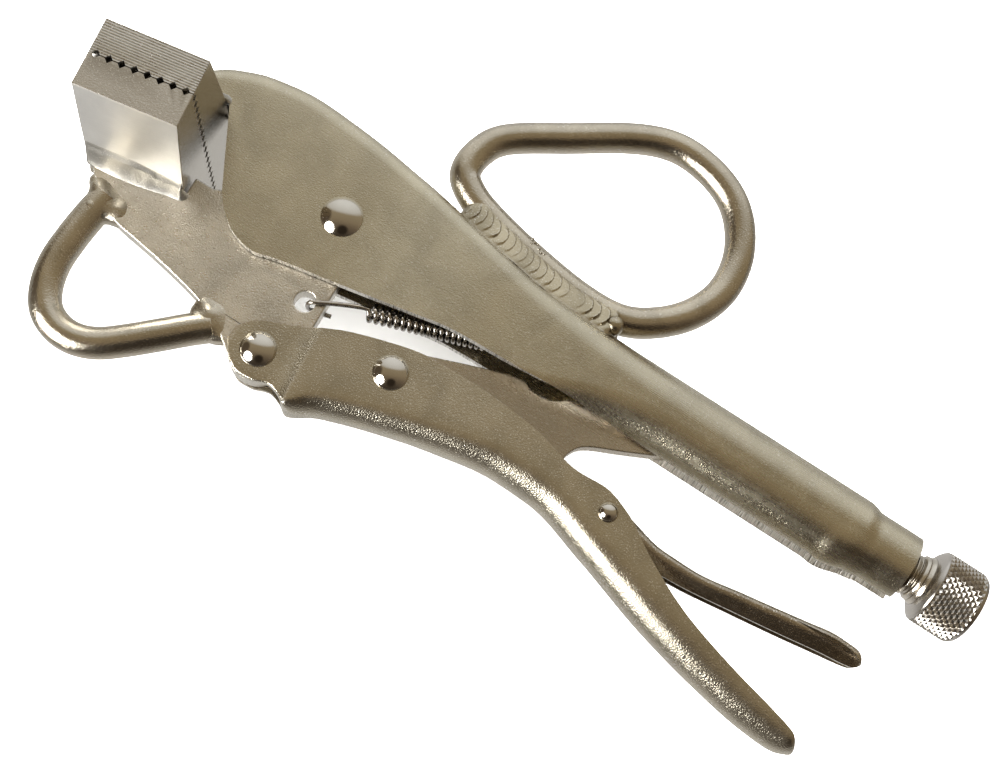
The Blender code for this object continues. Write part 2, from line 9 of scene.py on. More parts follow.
import bmesh
import bpy
from mathutils import Matrix, Vector, noise

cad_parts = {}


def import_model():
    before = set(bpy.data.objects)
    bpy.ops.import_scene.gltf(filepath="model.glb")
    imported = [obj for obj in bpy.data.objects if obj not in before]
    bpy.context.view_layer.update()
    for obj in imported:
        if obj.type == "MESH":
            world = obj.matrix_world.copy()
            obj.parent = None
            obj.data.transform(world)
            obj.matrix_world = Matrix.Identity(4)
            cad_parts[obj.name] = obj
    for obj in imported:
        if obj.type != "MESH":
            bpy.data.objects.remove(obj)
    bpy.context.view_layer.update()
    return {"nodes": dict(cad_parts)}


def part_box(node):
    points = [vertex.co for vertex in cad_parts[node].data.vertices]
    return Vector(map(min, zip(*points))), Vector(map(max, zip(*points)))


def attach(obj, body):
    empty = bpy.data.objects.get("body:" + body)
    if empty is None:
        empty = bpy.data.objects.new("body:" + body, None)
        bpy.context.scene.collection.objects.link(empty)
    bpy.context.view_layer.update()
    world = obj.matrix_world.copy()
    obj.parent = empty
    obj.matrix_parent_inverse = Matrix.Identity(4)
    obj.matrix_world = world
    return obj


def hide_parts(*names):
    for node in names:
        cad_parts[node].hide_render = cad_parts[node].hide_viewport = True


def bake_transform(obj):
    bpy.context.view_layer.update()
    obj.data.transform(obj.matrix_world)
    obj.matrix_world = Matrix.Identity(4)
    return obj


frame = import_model()

MM = 0.001
pivot_low, pivot_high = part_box("main_pivot_rivet")
PIVOT_PLACE = (pivot_low + pivot_high) / 2

SHEET = 2.2
LEVER_SHEET = 1.6
PLATE_HALF = 2.6
LINK_HALF = 2.3
BAR_RADIUS = 4.0
CLEARANCE = 0.3

# Pivots in the tool's plane, and the screw's axis
PIVOT = (0.0, 0.0)
JAW_HANDLE = (2.4, -39.0)
TOGGLE = (31.8, -26.7)
LEVER_PIVOT = (92.9, -26.8)
ANCHOR = (62.0, 1.0)
AXIS_Y = 3.0

# Jaw blocks: tips at the front, parting plane tilted, back rising to a flat middle
JAW_FRONT = (-63.0, -8.4)
JAW_ANGLE = radians(10.6)
JAW_LENGTH = 25.7
JAW_HALF_WIDTH = 33.4
JAW_TIP = {1: 9.1, -1: 8.7}
JAW_TAPER = 0.13
JAW_FLAT_HALF = 5.0
TOOTH_PITCH = 3.14
TOOTH_COUNT = 8
GROOVE_HALF = 0.92
GROOVE_DEPTH = 0.98

KNOB_START = 166.9
KNOB_LENGTH = 13.3
KNOB_RADIUS = 9.8


def world(point):
    """Tool millimetres to the shared frame in metres."""
    return PIVOT_PLACE + Vector(point) * MM


# ---- curves

def clamp(value):
    return min(1.0, max(0.0, value))


def smooth(x, start, end):
    """Ease from 0 at start to 1 at end."""
    t = clamp((x - start) / (end - start))
    return t * t * (3.0 - 2.0 * t)


def profile(points):
    """Return a function y(x) that passes through the points without overshoot."""
    xs = [p[0] for p in points]
    ys = [p[1] for p in points]
    steps = [(ys[i + 1] - ys[i]) / (xs[i + 1] - xs[i]) for i in range(len(xs) - 1)]
    slopes = [steps[0]]
    for before, after in zip(steps, steps[1:]):
        slopes.append(2.0 * before * after / (before + after) if before * after > 0.0 else 0.0)
    slopes.append(steps[-1])

    def value(x):
        i = 0
        while i < len(xs) - 2 and x > xs[i + 1]:
            i += 1
        width = xs[i + 1] - xs[i]
        t = clamp((x - xs[i]) / width)
        a = (1.0 + 2.0 * t) * (1.0 - t) ** 2 * ys[i] + t * t * (3.0 - 2.0 * t) * ys[i + 1]
        b = width * (t * (1.0 - t) ** 2 * slopes[i] - t * t * (1.0 - t) * slopes[i + 1])
        return a + b

    return value


def spline(points, per_span, closed=False):
    """Catmull-Rom curve through points of any dimension."""
    count = len(points)

    def point(i):
        return Vector(points[i % count] if closed else points[min(count - 1, max(0, i))])

    curve = []
    for i in range(count if closed else count - 1):
        p0, p1, p2, p3 = (point(i + k) for k in (-1, 0, 1, 2))
        for step in range(per_span):
            t = step / per_span
            curve.append(0.5 * (2 * p1 + (p2 - p0) * t + (2 * p0 - 5 * p1 + 4 * p2 - p3) * t * t
                                + (3 * p1 - p0 - 3 * p2 + p3) * t ** 3))
    if not closed:
        curve.append(Vector(points[-1]))
    return curve


def arc(centre, radius, start_deg, end_deg, steps):
    angles = [radians(start_deg + (end_deg - start_deg) * i / steps) for i in range(steps + 1)]
    return [(centre[0] + radius * cos(a), centre[1] + radius * sin(a)) for a in angles]


def jaw_point(along, across):
    """A point given along and across the jaws' parting plane."""
    return (JAW_FRONT[0] + along * cos(JAW_ANGLE) - across * sin(JAW_ANGLE),
            JAW_FRONT[1] + along * sin(JAW_ANGLE) + across * cos(JAW_ANGLE))


def turns(steps):
    """Even angles once around."""
    return [2.0 * pi * i / steps for i in range(steps)]


def span(start, end, step):
    """Even positions from start to end, both included, about step apart."""
    count = max(1, round(abs(end - start) / step))
    return [start + (end - start) * i / count for i in range(count + 1)]


def stations(start, *legs):
    """Even positions through legs of (end, step)."""
    places = [start]
    for end, step in legs:
        places += span(start, end, step)[1:]
        start = end
    return places


def rough(x, y, z, scale):
    """Repeatable noise, about -1 to 1."""
    return noise.noise(Vector((x * scale, y * scale, z * scale)))


# ---- materials

class Shade:
    """A short way to write the node tree of a material or a world."""

    def __init__(self, owner, shader):
        self.owner = owner
        owner.use_nodes = True
        self.tree = owner.node_tree
        self.shader = self.tree.nodes[shader]
        self.coords = self.node("ShaderNodeTexCoord")
        self.place = self.node("ShaderNodeMapping", Vector=self.coords.outputs["Object"],
                               Scale=(1000.0, 1000.0, 1000.0))

    def node(self, kind, settings=None, **inputs):
        item = self.tree.nodes.new(kind)
        for key, value in (settings or {}).items():
            setattr(item, key, value)
        for key, value in inputs.items():
            self.feed(item, key.replace("_", " "), value)
        return item

    def feed(self, item, key, value):
        numbered = key[:1] == "i" and key[1:].isdigit()
        socket = item.inputs[int(key[1:]) if numbered else key]
        if isinstance(value, bpy.types.NodeSocket):
            self.tree.links.new(value, socket)
        else:
            socket.default_value = value

    def noise(self, scale, detail=2.0, stretch=None, turn=0.0, distortion=0.0):
        """Noise with scale features per millimetre."""
        vector = self.place.outputs[0]
        if stretch:
            vector = self.node("ShaderNodeMapping", Vector=vector, Rotation=(0.0, 0.0, turn),
                               Scale=stretch).outputs[0]
        item = self.node("ShaderNodeTexNoise", Vector=vector, Scale=scale, Detail=detail,
                         Distortion=distortion)
        return item.outputs["Fac"]

    def ramp(self, value, stops):
        """Stops are (place, level or colour)."""
        item = self.node("ShaderNodeValToRGB", Fac=value)
        while len(item.color_ramp.elements) < len(stops):
            item.color_ramp.elements.new(0.5)
        for element, (place, level) in zip(item.color_ramp.elements, stops):
            element.position = place
            element.color = (*level, 1.0) if isinstance(level, tuple) else (level, level, level, 1.0)
        return item.outputs["Color"]

    def math(self, how, a, b=0.5):
        return self.node("ShaderNodeMath", {"operation": how}, i0=a, i1=b).outputs[0]

    def mix(self, factor, a, b, how="MIX"):
        return self.node("ShaderNodeMix", {"data_type": "RGBA", "blend_type": how},
                         i0=factor, i6=a, i7=b).outputs[2]

    def bump(self, height, distance, strength=1.0, normal=None):
        item = self.node("ShaderNodeBump", Height=height, Distance=distance, Strength=strength)
        if normal is not None:
            self.feed(item, "Normal", normal)
        return item.outputs["Normal"]


GLINT = (0.97, 0.94, 0.88, 1.0)
WORN_EDGE_AND_HIGHLIGHT = (0.86, 0.83, 0.77, 1.0)
HOLLOW_SHADE = (0.30, 0.27, 0.23)
HOLLOW_REACH = 0.0025
GRIT_DEPTH = 0.00011
DRIFT_DEPTH = 0.00001
BRUSH_DEPTH = 0.000014
PIT_DEPTH = 0.00006
LINE_DEPTH = 0.00009
SHEAR_DEPTH = 0.00035


def nickel(name, colour, roughness, grain=1.0, sparkle=1.0, mottle=1.0, brushed=0.0, brush_turn=0.0,
           pits=0.3, edge=0.3, lines=False, sheared=False):
    """Plated steel: soft clouds, grit in drifts with painted glints, brushing, pits, painted shade in
    hollows, worn edges with a painted highlight.
    """
    s = Shade(bpy.data.materials.new(name), "Principled BSDF")
    clouds = s.noise(0.10, 3.0, distortion=0.5)
    drift = s.noise(0.42, 2.0)
    grit = s.noise(2.7, 1.0)
    tint = s.ramp(clouds, [(0.32, tuple(c * (1.0 - 0.12 * mottle) for c in colour)),
                           (0.52, colour),
                           (0.72, tuple(min(1.0, c * (1.0 + 0.10 * mottle)) for c in colour))])
    cluster = s.ramp(drift, [(0.34, 0.12), (0.64, 1.0)])
    # Painted glints: bright flecks of grit, in the drifts, are painted towards GLINT in the base colour.
    bright = s.math("MULTIPLY", s.ramp(grit, [(0.60, 0.0), (0.70, 0.95 * sparkle)]), cluster)
    dull = s.math("MULTIPLY", s.ramp(grit, [(0.28, 0.60 * sparkle), (0.38, 0.0)]), cluster)
    tint = s.mix(bright, tint, GLINT)
    tint = s.mix(dull, tint, tuple(c * 0.42 for c in colour) + (1.0,))
    # Painted shade: ambient occlusion darkens the colour in hollows and close to other parts.
    hollow = s.node("ShaderNodeAmbientOcclusion", {"samples": 4}, Distance=HOLLOW_REACH).outputs["AO"]
    tint = s.mix(1.0, tint, s.ramp(hollow, [(0.10, HOLLOW_SHADE), (0.75, 1.0)]), "MULTIPLY")
    # Worn edges with a painted highlight: sharp convex edges are painted lighter.
    ridge = s.ramp(s.node("ShaderNodeNewGeometry").outputs["Pointiness"], [(0.505, 0.0), (0.56, 1.0)])
    tint = s.mix(s.math("MULTIPLY", ridge, edge), tint, WORN_EDGE_AND_HIGHLIGHT)
    s.feed(s.shader, "Metallic", 1.0)
    gloss = s.ramp(drift, [(0.30, roughness * 0.94), (0.70, roughness * 1.07)])
    if brushed:
        streak = s.noise(1.0, 3.0, stretch=(0.035, 2.4, 0.8), turn=brush_turn)
        gloss = s.mix(brushed, gloss, s.ramp(streak, [(0.35, 0.0), (0.72, 0.10)]), "ADD")
    s.feed(s.shader, "Roughness", gloss)
    facing = s.node("ShaderNodeSeparateXYZ", Vector=s.coords.outputs["Normal"])
    flatness = s.math("ABSOLUTE", facing.outputs["Z"])
    normal = s.bump(grit, GRIT_DEPTH * grain, s.ramp(flatness, [(0.72, 1.0), (0.97, 0.42)]))
    normal = s.bump(drift, DRIFT_DEPTH * grain, 0.5, normal)
    if brushed:
        normal = s.bump(streak, BRUSH_DEPTH * brushed, 1.0, normal)
    if pits:
        holes = s.node("ShaderNodeTexVoronoi", Vector=s.place.outputs[0], Scale=0.21).outputs["Distance"]
        normal = s.bump(s.ramp(holes, [(0.0, 0.0), (0.06, 1.0)]), PIT_DEPTH * pits, 1.0, normal)
    if lines:
        along_jaws = s.node("ShaderNodeMapping", Vector=s.place.outputs[0], Rotation=(0.0, 0.0, -JAW_ANGLE))
        wave = s.node("ShaderNodeTexWave", {"bands_direction": "Y"}, Vector=along_jaws.outputs[0],
                      Scale=0.47, Distortion=0.5, Detail=2.0, Detail_Scale=3.0).outputs["Fac"]
        normal = s.bump(wave, LINE_DEPTH, 1.0, normal)
        tint = s.mix(1.0, tint, s.ramp(wave, [(0.15, 0.55), (0.6, 1.0)]), "MULTIPLY")
    if sheared:
        teeth = s.noise(1.0, 2.0, stretch=(2.6, 0.2, 0.2))
        normal = s.bump(teeth, SHEAR_DEPTH, 1.0, normal)
        tint = s.mix(1.0, tint, s.ramp(teeth, [(0.36, 0.45), (0.52, 1.0)]), "MULTIPLY")
    s.feed(s.shader, "Base Color", tint)
    s.feed(s.shader, "Normal", normal)
    return s.owner


MATERIALS = {
    "shell": nickel("upper_handle_nickel", (0.58, 0.525, 0.395), 0.25, sparkle=0.55, brushed=0.5,
                    brush_turn=radians(28)),
    "sheared": nickel("sheared_edge_nickel", (0.88, 0.85, 0.79), 0.42, sparkle=0.5, sheared=True),
    "jaw_plate": nickel("jaw_plate_nickel", (0.80, 0.75, 0.655), 0.28, grain=2.0, sparkle=1.3, mottle=1.9,
                        brushed=0.1),
    "handle": nickel("lower_handle_nickel", (0.575, 0.525, 0.415), 0.25, grain=1.2, sparkle=0.9,
                     brushed=0.15),
    # The toggle link's dark base is painted shade, where it lies between the handles.
    "link": nickel("link_nickel_painted_shade", (0.42, 0.35, 0.25), 0.26, sparkle=0.3, brushed=0.4),
    "lever": nickel("release_lever_nickel", (0.46, 0.40, 0.31), 0.22, grain=1.2, brushed=0.3),
    "block": nickel("jaw_block_steel", (0.66, 0.66, 0.65), 0.40, grain=0.3, sparkle=0.15, brushed=0.5,
                    pits=0.0, edge=0.9),
    # The dark base of the blocks' sides is painted shade, a shaded copy of the block's steel.
    "block_side": nickel("jaw_block_side_painted_shade_steel", (0.28, 0.245, 0.19), 0.24, grain=0.6, sparkle=0.4,
                         edge=0.5),
    "block_end": nickel("milled_end_steel", (0.42, 0.37, 0.285), 0.28, grain=0.5, sparkle=0.55,
                        lines=True, edge=0.6),
    "block_end_plain": nickel("ground_end_steel", (0.33, 0.29, 0.225), 0.26, grain=0.7, sparkle=0.8,
                              edge=0.6),
    "bar": nickel("ring_bar_nickel", (0.60, 0.54, 0.43), 0.20, grain=0.9, sparkle=0.6, mottle=1.2),
    "fillet": nickel("jaw_weld_nickel", (0.40, 0.385, 0.35), 0.38, grain=0.6, sparkle=0.4, mottle=0.7,
                     pits=0.6),
    "bead": nickel("laid_bead_nickel", (0.50, 0.44, 0.315), 0.22, grain=0.9, sparkle=0.5, mottle=1.8,
                   pits=0.8),
    "weld": nickel("weld_bead_nickel", (0.60, 0.545, 0.44), 0.27, grain=0.8, sparkle=0.5, mottle=1.2,
                   pits=1.0),
    "rivet": nickel("rivet_head_nickel", (0.66, 0.62, 0.55), 0.09, grain=0.12, sparkle=0.1, mottle=0.5,
                    pits=0.0),
    "screw": nickel("screw_steel", (0.60, 0.55, 0.47), 0.20, grain=0.4, sparkle=0.3, pits=0.0),
    "knob": nickel("knob_steel", (0.56, 0.53, 0.49), 0.24, grain=0.12, sparkle=0.1, pits=0.0, edge=0.35),
    "wire": nickel("spring_wire_steel", (0.34, 0.31, 0.28), 0.16, grain=0.3, sparkle=0.2, pits=0.0),
}


# ---- meshes

def link_object(name, data):
    item = bpy.data.objects.new(name, data)
    bpy.context.collection.objects.link(item)
    return item


def to_mesh(name, bm):
    mesh = bpy.data.meshes.new(name)
    bm.to_mesh(mesh)
    bm.free()
    return mesh


def place_mesh(name, bm):
    """Link an object made from a bmesh in tool millimetres."""
    for vertex in bm.verts:
        vertex.co = world(vertex.co)
    bmesh.ops.recalc_face_normals(bm, faces=bm.faces)
    return link_object(name, to_mesh(name, bm))


def soften(item, width, angle, segments=2):
    """Bevel the edges that are sharper than angle degrees."""
    modifier = item.modifiers.new("edge", "BEVEL")
    modifier.width = width * MM
    modifier.segments = segments
    modifier.limit_method = "ANGLE"
    modifier.angle_limit = radians(angle)
    return modifier


def piece(name, bm, looks, body, nodes, bevel=0.0, crease=40.0, smooth_shade=True,
          segments=2, bevel_look=-1):
    """Make a shown piece from a bmesh in tool millimetres."""
    item = place_mesh(name, bm)
    for look in ([looks] if isinstance(looks, str) else looks):
        item.data.materials.append(MATERIALS[look])
    if smooth_shade:
        item.data.shade_smooth()
        if not bevel:
            item.data.set_sharp_from_angle(angle=radians(crease))
    if bevel:
        modifier = soften(item, bevel, crease, segments)
        modifier.harden_normals = True
        modifier.material = bevel_look
    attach(item, body)
    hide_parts(*nodes)
    return item


def carve(item, bm):
    """Cut a hole into a piece, under its other modifiers."""
    tool = place_mesh("hole", bm)
    for modifier in item.modifiers:
        modifier.show_viewport = False
    cut = item.modifiers.new("hole", "BOOLEAN")
    cut.operation = "DIFFERENCE"
    cut.solver = "EXACT"
    cut.object = tool
    bpy.context.view_layer.update()
    result = bpy.data.meshes.new_from_object(item.evaluated_get(bpy.context.evaluated_depsgraph_get()))
    item.modifiers.remove(cut)
    for modifier in item.modifiers:
        modifier.show_viewport = True
    item.data = result
    bpy.data.objects.remove(tool, do_unlink=True)


def bridge(bm, rows, second=()):
    """Join closed rows of vertices. Faces whose row edge is in second get material 1."""
    for lower, upper in zip(rows, rows[1:]):
        for i in range(len(lower)):
            k = (i + 1) % len(lower)
            face = bm.faces.new((lower[i], lower[k], upper[k], upper[i]))
            face.material_index = 1 if i in second else 0


def split_quad(bm, a, b, c, d, from_a):
    """Two triangles, cut from a to c or from b to d."""
    for corners in (((a, b, c), (a, c, d)) if from_a else ((a, b, d), (b, c, d))):
        bm.faces.new(corners)


def cap(bm, first, last):
    bm.faces.new(list(reversed(first)))
    bm.faces.new(last)


def loft(rings, closed=False, second=()):
    """Skin closed rings of equal length."""
    bm = bmesh.new()
    rows = [[bm.verts.new(point) for point in ring] for ring in rings]
    bridge(bm, rows + rows[:1] if closed else rows, second)
    if not closed:
        cap(bm, rows[0], rows[-1])
    return bm


def prism(outline, low, high):
    """An outline in the tool's plane, from Z low to Z high."""
    return loft([[(x, y, z) for x, y in outline] for z in (low, high)])


def turned(profile_points, steps, place):
    """Revolve (height, radius) pairs; the first and last radius are 0."""
    bm = bmesh.new()
    first = bm.verts.new(place(profile_points[0][0], 0.0, 0.0))
    last = bm.verts.new(place(profile_points[-1][0], 0.0, 0.0))
    rows = []
    for height, radius in profile_points[1:-1]:
        rows.append([bm.verts.new(place(height, radius, angle)) for angle in turns(steps)])
    bridge(bm, rows)
    for i in range(steps):
        k = (i + 1) % steps
        bm.faces.new((first, rows[0][k], rows[0][i]))
        bm.faces.new((last, rows[-1][i], rows[-1][k]))
    return bm


def around_z(centre):
    """A placer for turned shapes whose axis crosses the tool's plane at centre."""
    return lambda height, radius, angle: (centre[0] + radius * cos(angle),
                                          centre[1] + radius * sin(angle), height)


def around_x(height, radius, angle):
    """A point around the screw's axis."""
    return (height, AXIS_Y + radius * cos(angle), radius * sin(angle))


def sweep(path, radius, sides, closed=False):
    """A round bar along a 3-D path with a frame that doesn't twist."""
    points = [Vector((*p, 0.0)) if len(p) == 2 else Vector(p) for p in path]
    count = len(points)
    rings = []
    side = None
    for i, point in enumerate(points):
        before = points[(i - 1) % count] if closed or i > 0 else point
        after = points[(i + 1) % count] if closed or i < count - 1 else point
        direction = (after - before).normalized()
        if side is None:
            upright = abs(direction.z) > 0.9
            side = direction.orthogonal() if upright else Vector((0, 0, 1)).cross(direction)
        side = (side - direction * side.dot(direction)).normalized()
        up = direction.cross(side)
        rings.append([point + (side * cos(angle) + up * sin(angle)) * radius for angle in turns(sides)])
    return loft(rings, closed=closed)


# ---- folded sheet

CORNER_STEPS = 10
BEND_STEPS = 12
WALL_STEPS = 4


def half_section(top, low, half_width, corner, bend_radius, bend):
    """Outer half of a folded channel from its middle line to its lip, as (z, y) points."""
    corner_z, corner_y = corner
    points = [Vector((0.0, top))]
    for i in range(CORNER_STEPS + 1):
        angle = 0.5 * pi * (1.0 - i / CORNER_STEPS)
        points.append(Vector((half_width - corner_z + corner_z * cos(angle),
                              top - corner_y + corner_y * sin(angle))))
    centre_y = low + bend_radius * sin(bend)
    start = points[-1]
    end = Vector((half_width, centre_y))
    points += [start.lerp(end, (i + 1) / (WALL_STEPS + 1)) for i in range(WALL_STEPS)]
    for i in range(BEND_STEPS + 1):
        angle = bend * i / BEND_STEPS
        points.append(Vector((half_width - bend_radius + bend_radius * cos(angle),
                              centre_y - bend_radius * sin(angle))))
    return points


def channel_ring(x, flip, thickness, top, low, half_width, corner, bend_radius, bend=0.0):
    """Closed section of a folded channel at x. flip is 1 for a back towards +Y and -1 for -Y."""
    outer = half_section(top, low, half_width, corner, bend_radius, bend)
    inner_corner = tuple(max(0.3, size - thickness) for size in corner)
    inner = half_section(top - thickness, low + thickness * sin(bend), half_width - thickness,
                         inner_corner, bend_radius - thickness, bend)
    if bend < 0.01:
        for rail in (outer, inner):
            tail = rail[-BEND_STEPS - 1:]
            for i, point in enumerate(tail):
                point.y = low + (rail[-BEND_STEPS - 2].y - low) * 0.02 * (BEND_STEPS - i)
    loop = list(reversed(outer)) + [Vector((-p.x, p.y)) for p in outer[1:]]
    loop += [Vector((-p.x, p.y)) for p in reversed(inner)] + inner[1:]
    return [(x, flip * p.y, p.x) for p in loop]


def lip_edges():
    """Places in a channel's ring that lie on the two cut edges of the sheet."""
    half = CORNER_STEPS + WALL_STEPS + BEND_STEPS + 3
    return {2 * half - 2, 4 * half - 3}


SHELL_TOP = profile([(-61, 8.8), (-52, 12.8), (-44.8, 18.4), (-34.4, 22.5), (-22, 24.1), (-7.4, 23.3),
                     (12.6, 20.5), (26, 17.6), (39.5, 14.9), (54, 13.1), (75, 12.7), (147, 12.7)])
SHELL_LOW = profile([(-27.6, -11), (-24, -15), (-19, -18.3), (-13, -19.6), (-7.9, -18.2), (8.8, -14.9),
                     (29.3, -11.3), (38, -9.9), (57, -9), (75, -7.9), (96, -7.4), (147, -7.4)])
SHELL_START = -61.0
SHELL_END = 161.3
# Between these the front edge of the side walls runs down from the jaw block's back to the belly
WALL_TOP_X = -39.5
WALL_LOW_X = -27.6


def block_back(side):
    """Height of a jaw block's back above the parting plane, in its flat middle."""
    return JAW_TIP[side] + JAW_TAPER * (JAW_HALF_WIDTH - JAW_FLAT_HALF)


def shell_low(x):
    """The lips of the upper handle: over the jaw block, down the front edge, along the belly."""
    roof = jaw_point(0.0, block_back(1) + CLEARANCE)

    def over_block(at):
        return roof[1] + (at - roof[0]) * tan(JAW_ANGLE)

    if x <= WALL_TOP_X:
        return over_block(x)
    if x < WALL_LOW_X:
        share = (x - WALL_TOP_X) / (WALL_LOW_X - WALL_TOP_X)
        return over_block(WALL_TOP_X) + (SHELL_LOW(WALL_LOW_X) - over_block(WALL_TOP_X)) * share
    return SHELL_LOW(x)


def shell_size(x):
    """Top, lip height, half-width, corner size and lip bend of the upper handle at x."""
    neck = smooth(x, 146.5, 150.5)
    tuck = smooth(x, 144.5, 153.0)
    half_width = 5.1 + 3.3 * smooth(x, 4.0, 44.0) + 0.9 * smooth(x, 40.0, 80.0) - 0.7 * neck
    top = SHELL_TOP(x) - 0.95 * neck
    wave = 0.32 * sin(2.0 * pi * (x - 139.0) / 11.0)
    wave = wave * smooth(x, 137.0, 142.0) * (1.0 - smooth(x, 150.0, 154.0))
    low = shell_low(x) + 1.9 * tuck - wave
    rear = smooth(x, 20.0, 90.0)
    corner_y = min(0.6 * (top - low), 4.9 + (half_width - 4.9) * rear)
    corner_z = min(half_width - 0.3, 4.0 + (half_width - 4.0) * rear)
    bend = radians(72.0) * smooth(x, 50.0, 96.0) + radians(5.0) * smooth(x, 149.0, 156.0)
    return top, low, half_width, (corner_z, corner_y), bend


def shell_ring(x):
    top, low, half_width, corner, bend = shell_size(x)
    return channel_ring(x, 1, SHEET, top=top, low=low, half_width=half_width, corner=corner,
                        bend_radius=half_width - 0.3, bend=bend)


def build_upper_handle():
    xs = stations(SHELL_START, (WALL_TOP_X, 1.6), (WALL_LOW_X, 0.8), (-13.0, 1.0), (137.0, 2.0), (155.0, 0.5),
                  (SHELL_END, 1.5))
    piece("upper_handle_skin", loft([shell_ring(x) for x in xs], second=lip_edges()), ("shell", "sheared"),
          "upper_handle", ["upper_handle_shell"], bevel=0.28, crease=42.0)


# ---- jaws

def tooth_lines(start, end, middles):
    """Grid lines: both ends, and the middle and both sides of each groove."""
    lines = {round(start, 4), round(end, 4)}
    for middle in middles:
        for offset in (-GROOVE_HALF, 0.0, GROOVE_HALF):
            if start < middle + offset < end:
                lines.add(round(middle + offset, 4))
    return sorted(lines)


def groove(value, middles):
    """Depth share, 1 in the middle of a groove and 0 beside it."""
    nearest = min(abs(value - m) for m in middles)
    return clamp(1.0 - nearest / GROOVE_HALF)


def build_block(name, side, body):
    """A bar whose parting face is a grid of square pyramids and whose back rises to the middle."""
    margin = 0.5 * (JAW_LENGTH - TOOTH_PITCH * (TOOTH_COUNT - 1))
    rows = [margin + TOOTH_PITCH * i for i in range(TOOTH_COUNT)]
    columns = [TOOTH_PITCH * i for i in range(-10, 11)]
    us = tooth_lines(0.0, JAW_LENGTH, rows)
    vs = tooth_lines(-JAW_HALF_WIDTH, JAW_HALF_WIDTH, columns)
    vs = sorted(set(vs) | {-JAW_FLAT_HALF, JAW_FLAT_HALF})
    bm = bmesh.new()

    def vertex(u, v, across):
        return bm.verts.new((*jaw_point(u, side * across), v))

    def back(v):
        return JAW_TIP[side] + JAW_TAPER * (JAW_HALF_WIDTH - max(JAW_FLAT_HALF, abs(v)))

    last_u, last_v = len(us) - 1, len(vs) - 1
    teeth = {}
    for i, u in enumerate(us):
        for k, v in enumerate(vs):
            depth = max(groove(u, rows), groove(v, columns))
            teeth[i, k] = (vertex(u, v, 0.12 + GROOVE_DEPTH * depth), depth)
    for i in range(last_u):
        for k in range(last_v):
            corners = [teeth[i, k], teeth[i + 1, k], teeth[i + 1, k + 1], teeth[i, k + 1]]
            (a, b, c, d), (depth_a, depth_b, depth_c, depth_d) = zip(*corners)
            split_quad(bm, a, b, c, d, from_a=abs(depth_a - depth_c) > abs(depth_b - depth_d))
    rear = {}
    for i in (0, last_u):
        for k, v in enumerate(vs):
            rear[i, k] = vertex(us[i], v, back(v))
    for k in range(last_v):
        bm.faces.new((rear[0, k], rear[0, k + 1], rear[last_u, k + 1], rear[last_u, k]))
        for i in (0, last_u):
            face = bm.faces.new((teeth[i, k][0], teeth[i, k + 1][0], rear[i, k + 1], rear[i, k]))
            # The sides at both ends along the jaws take the darker material, painted shade.
            face.material_index = 2
    for k in (0, last_v):
        row = [teeth[i, k][0] for i in range(last_u + 1)]
        face = bm.faces.new(row + [rear[last_u, k], rear[0, k]])
        face.material_index = 1
    end_look = "block_end" if side > 0 else "block_end_plain"
    item = piece(name, bm, ("block", end_look, "block_side"), body,
                 [name.replace("_body", "")], smooth_shade=False)
    sharp = item.data.attributes.new("bevel_weight_edge", "FLOAT", "EDGE")
    corner_ids = set()
    for i, vert in enumerate(item.data.vertices):
        local = (vert.co - PIVOT_PLACE) / MM
        x, y = local.x - JAW_FRONT[0], local.y - JAW_FRONT[1]
        u = x * cos(JAW_ANGLE) + y * sin(JAW_ANGLE)
        across = side * (-x * sin(JAW_ANGLE) + y * cos(JAW_ANGLE))
        on_back = abs(across - back(local.z)) < 0.01
        on_end = abs(abs(local.z) - JAW_HALF_WIDTH) < 0.01
        on_side = u < 0.01 or u > JAW_LENGTH - 0.01
        if on_back + on_end + on_side > 1:
            corner_ids.add(i)
    for edge, weight in zip(item.data.edges, sharp.data):
        weight.value = 1.0 if corner_ids.issuperset(edge.vertices) else 0.0
    modifier = item.modifiers.new("edge", "BEVEL")
    modifier.width = 0.28 * MM
    modifier.segments = 2
    modifier.limit_method = "WEIGHT"


def mirror(bm):
    """Turn a mesh over to the other side of the tool's middle plane."""
    for vertex in bm.verts:
        vertex.co.z = -vertex.co.z
    bmesh.ops.reverse_faces(bm, faces=bm.faces)


def jaw_fillet(side, wall_z, rise, reach):
    """A dished fillet in the corner between a block's back and the wall it's welded to."""
    corner = block_back(side)
    stations = [(along, 0.0) for along in span(0.3, JAW_LENGTH - 0.6, 0.5)]
    stations += [(JAW_LENGTH - 0.5, radians(90.0) * i / 10) for i in range(11)]
    rings = []
    for along, turn in stations:
        end = turn / radians(90.0)
        share = along / JAW_LENGTH
        up = rise * (1.0 - 0.30 * smooth(share, 0.45, 1.0)) * (1.0 - 0.35 * end)
        out = reach * (0.82 + 0.25 * sin(pi * clamp(share * 1.15))) * (1.0 - 0.18 * end)
        out *= smooth(along, -0.6, 1.4)
        steps = 12
        section = []
        for i in range(steps + 1):
            t = i / steps
            bow = 0.34 * 2.0 * t * (1.0 - t)
            lift = up * ((1.0 - t) ** 2 + bow)
            push = out * (t * t + bow)
            dent = 0.05 * rough(along * 0.8, t * 3.0, side * 4.0, 0.7) * sin(pi * t)
            section.append((push + dent, lift + dent))
        section += [(out - 0.1, -0.5), (-1.6, -0.5), (-1.6, up - 0.2)]
        ring = []
        for push, lift in section:
            z = wall_z + lift
            on_block = push < 0.35 and turn < 0.05
            back = corner - JAW_TAPER * max(0.0, z - JAW_FLAT_HALF) if on_block else corner
            x, y = jaw_point(along + push * sin(turn), side * (min(back, corner) + push * cos(turn)))
            ring.append((x, y, z))
        rings.append(ring)
    return loft(rings)


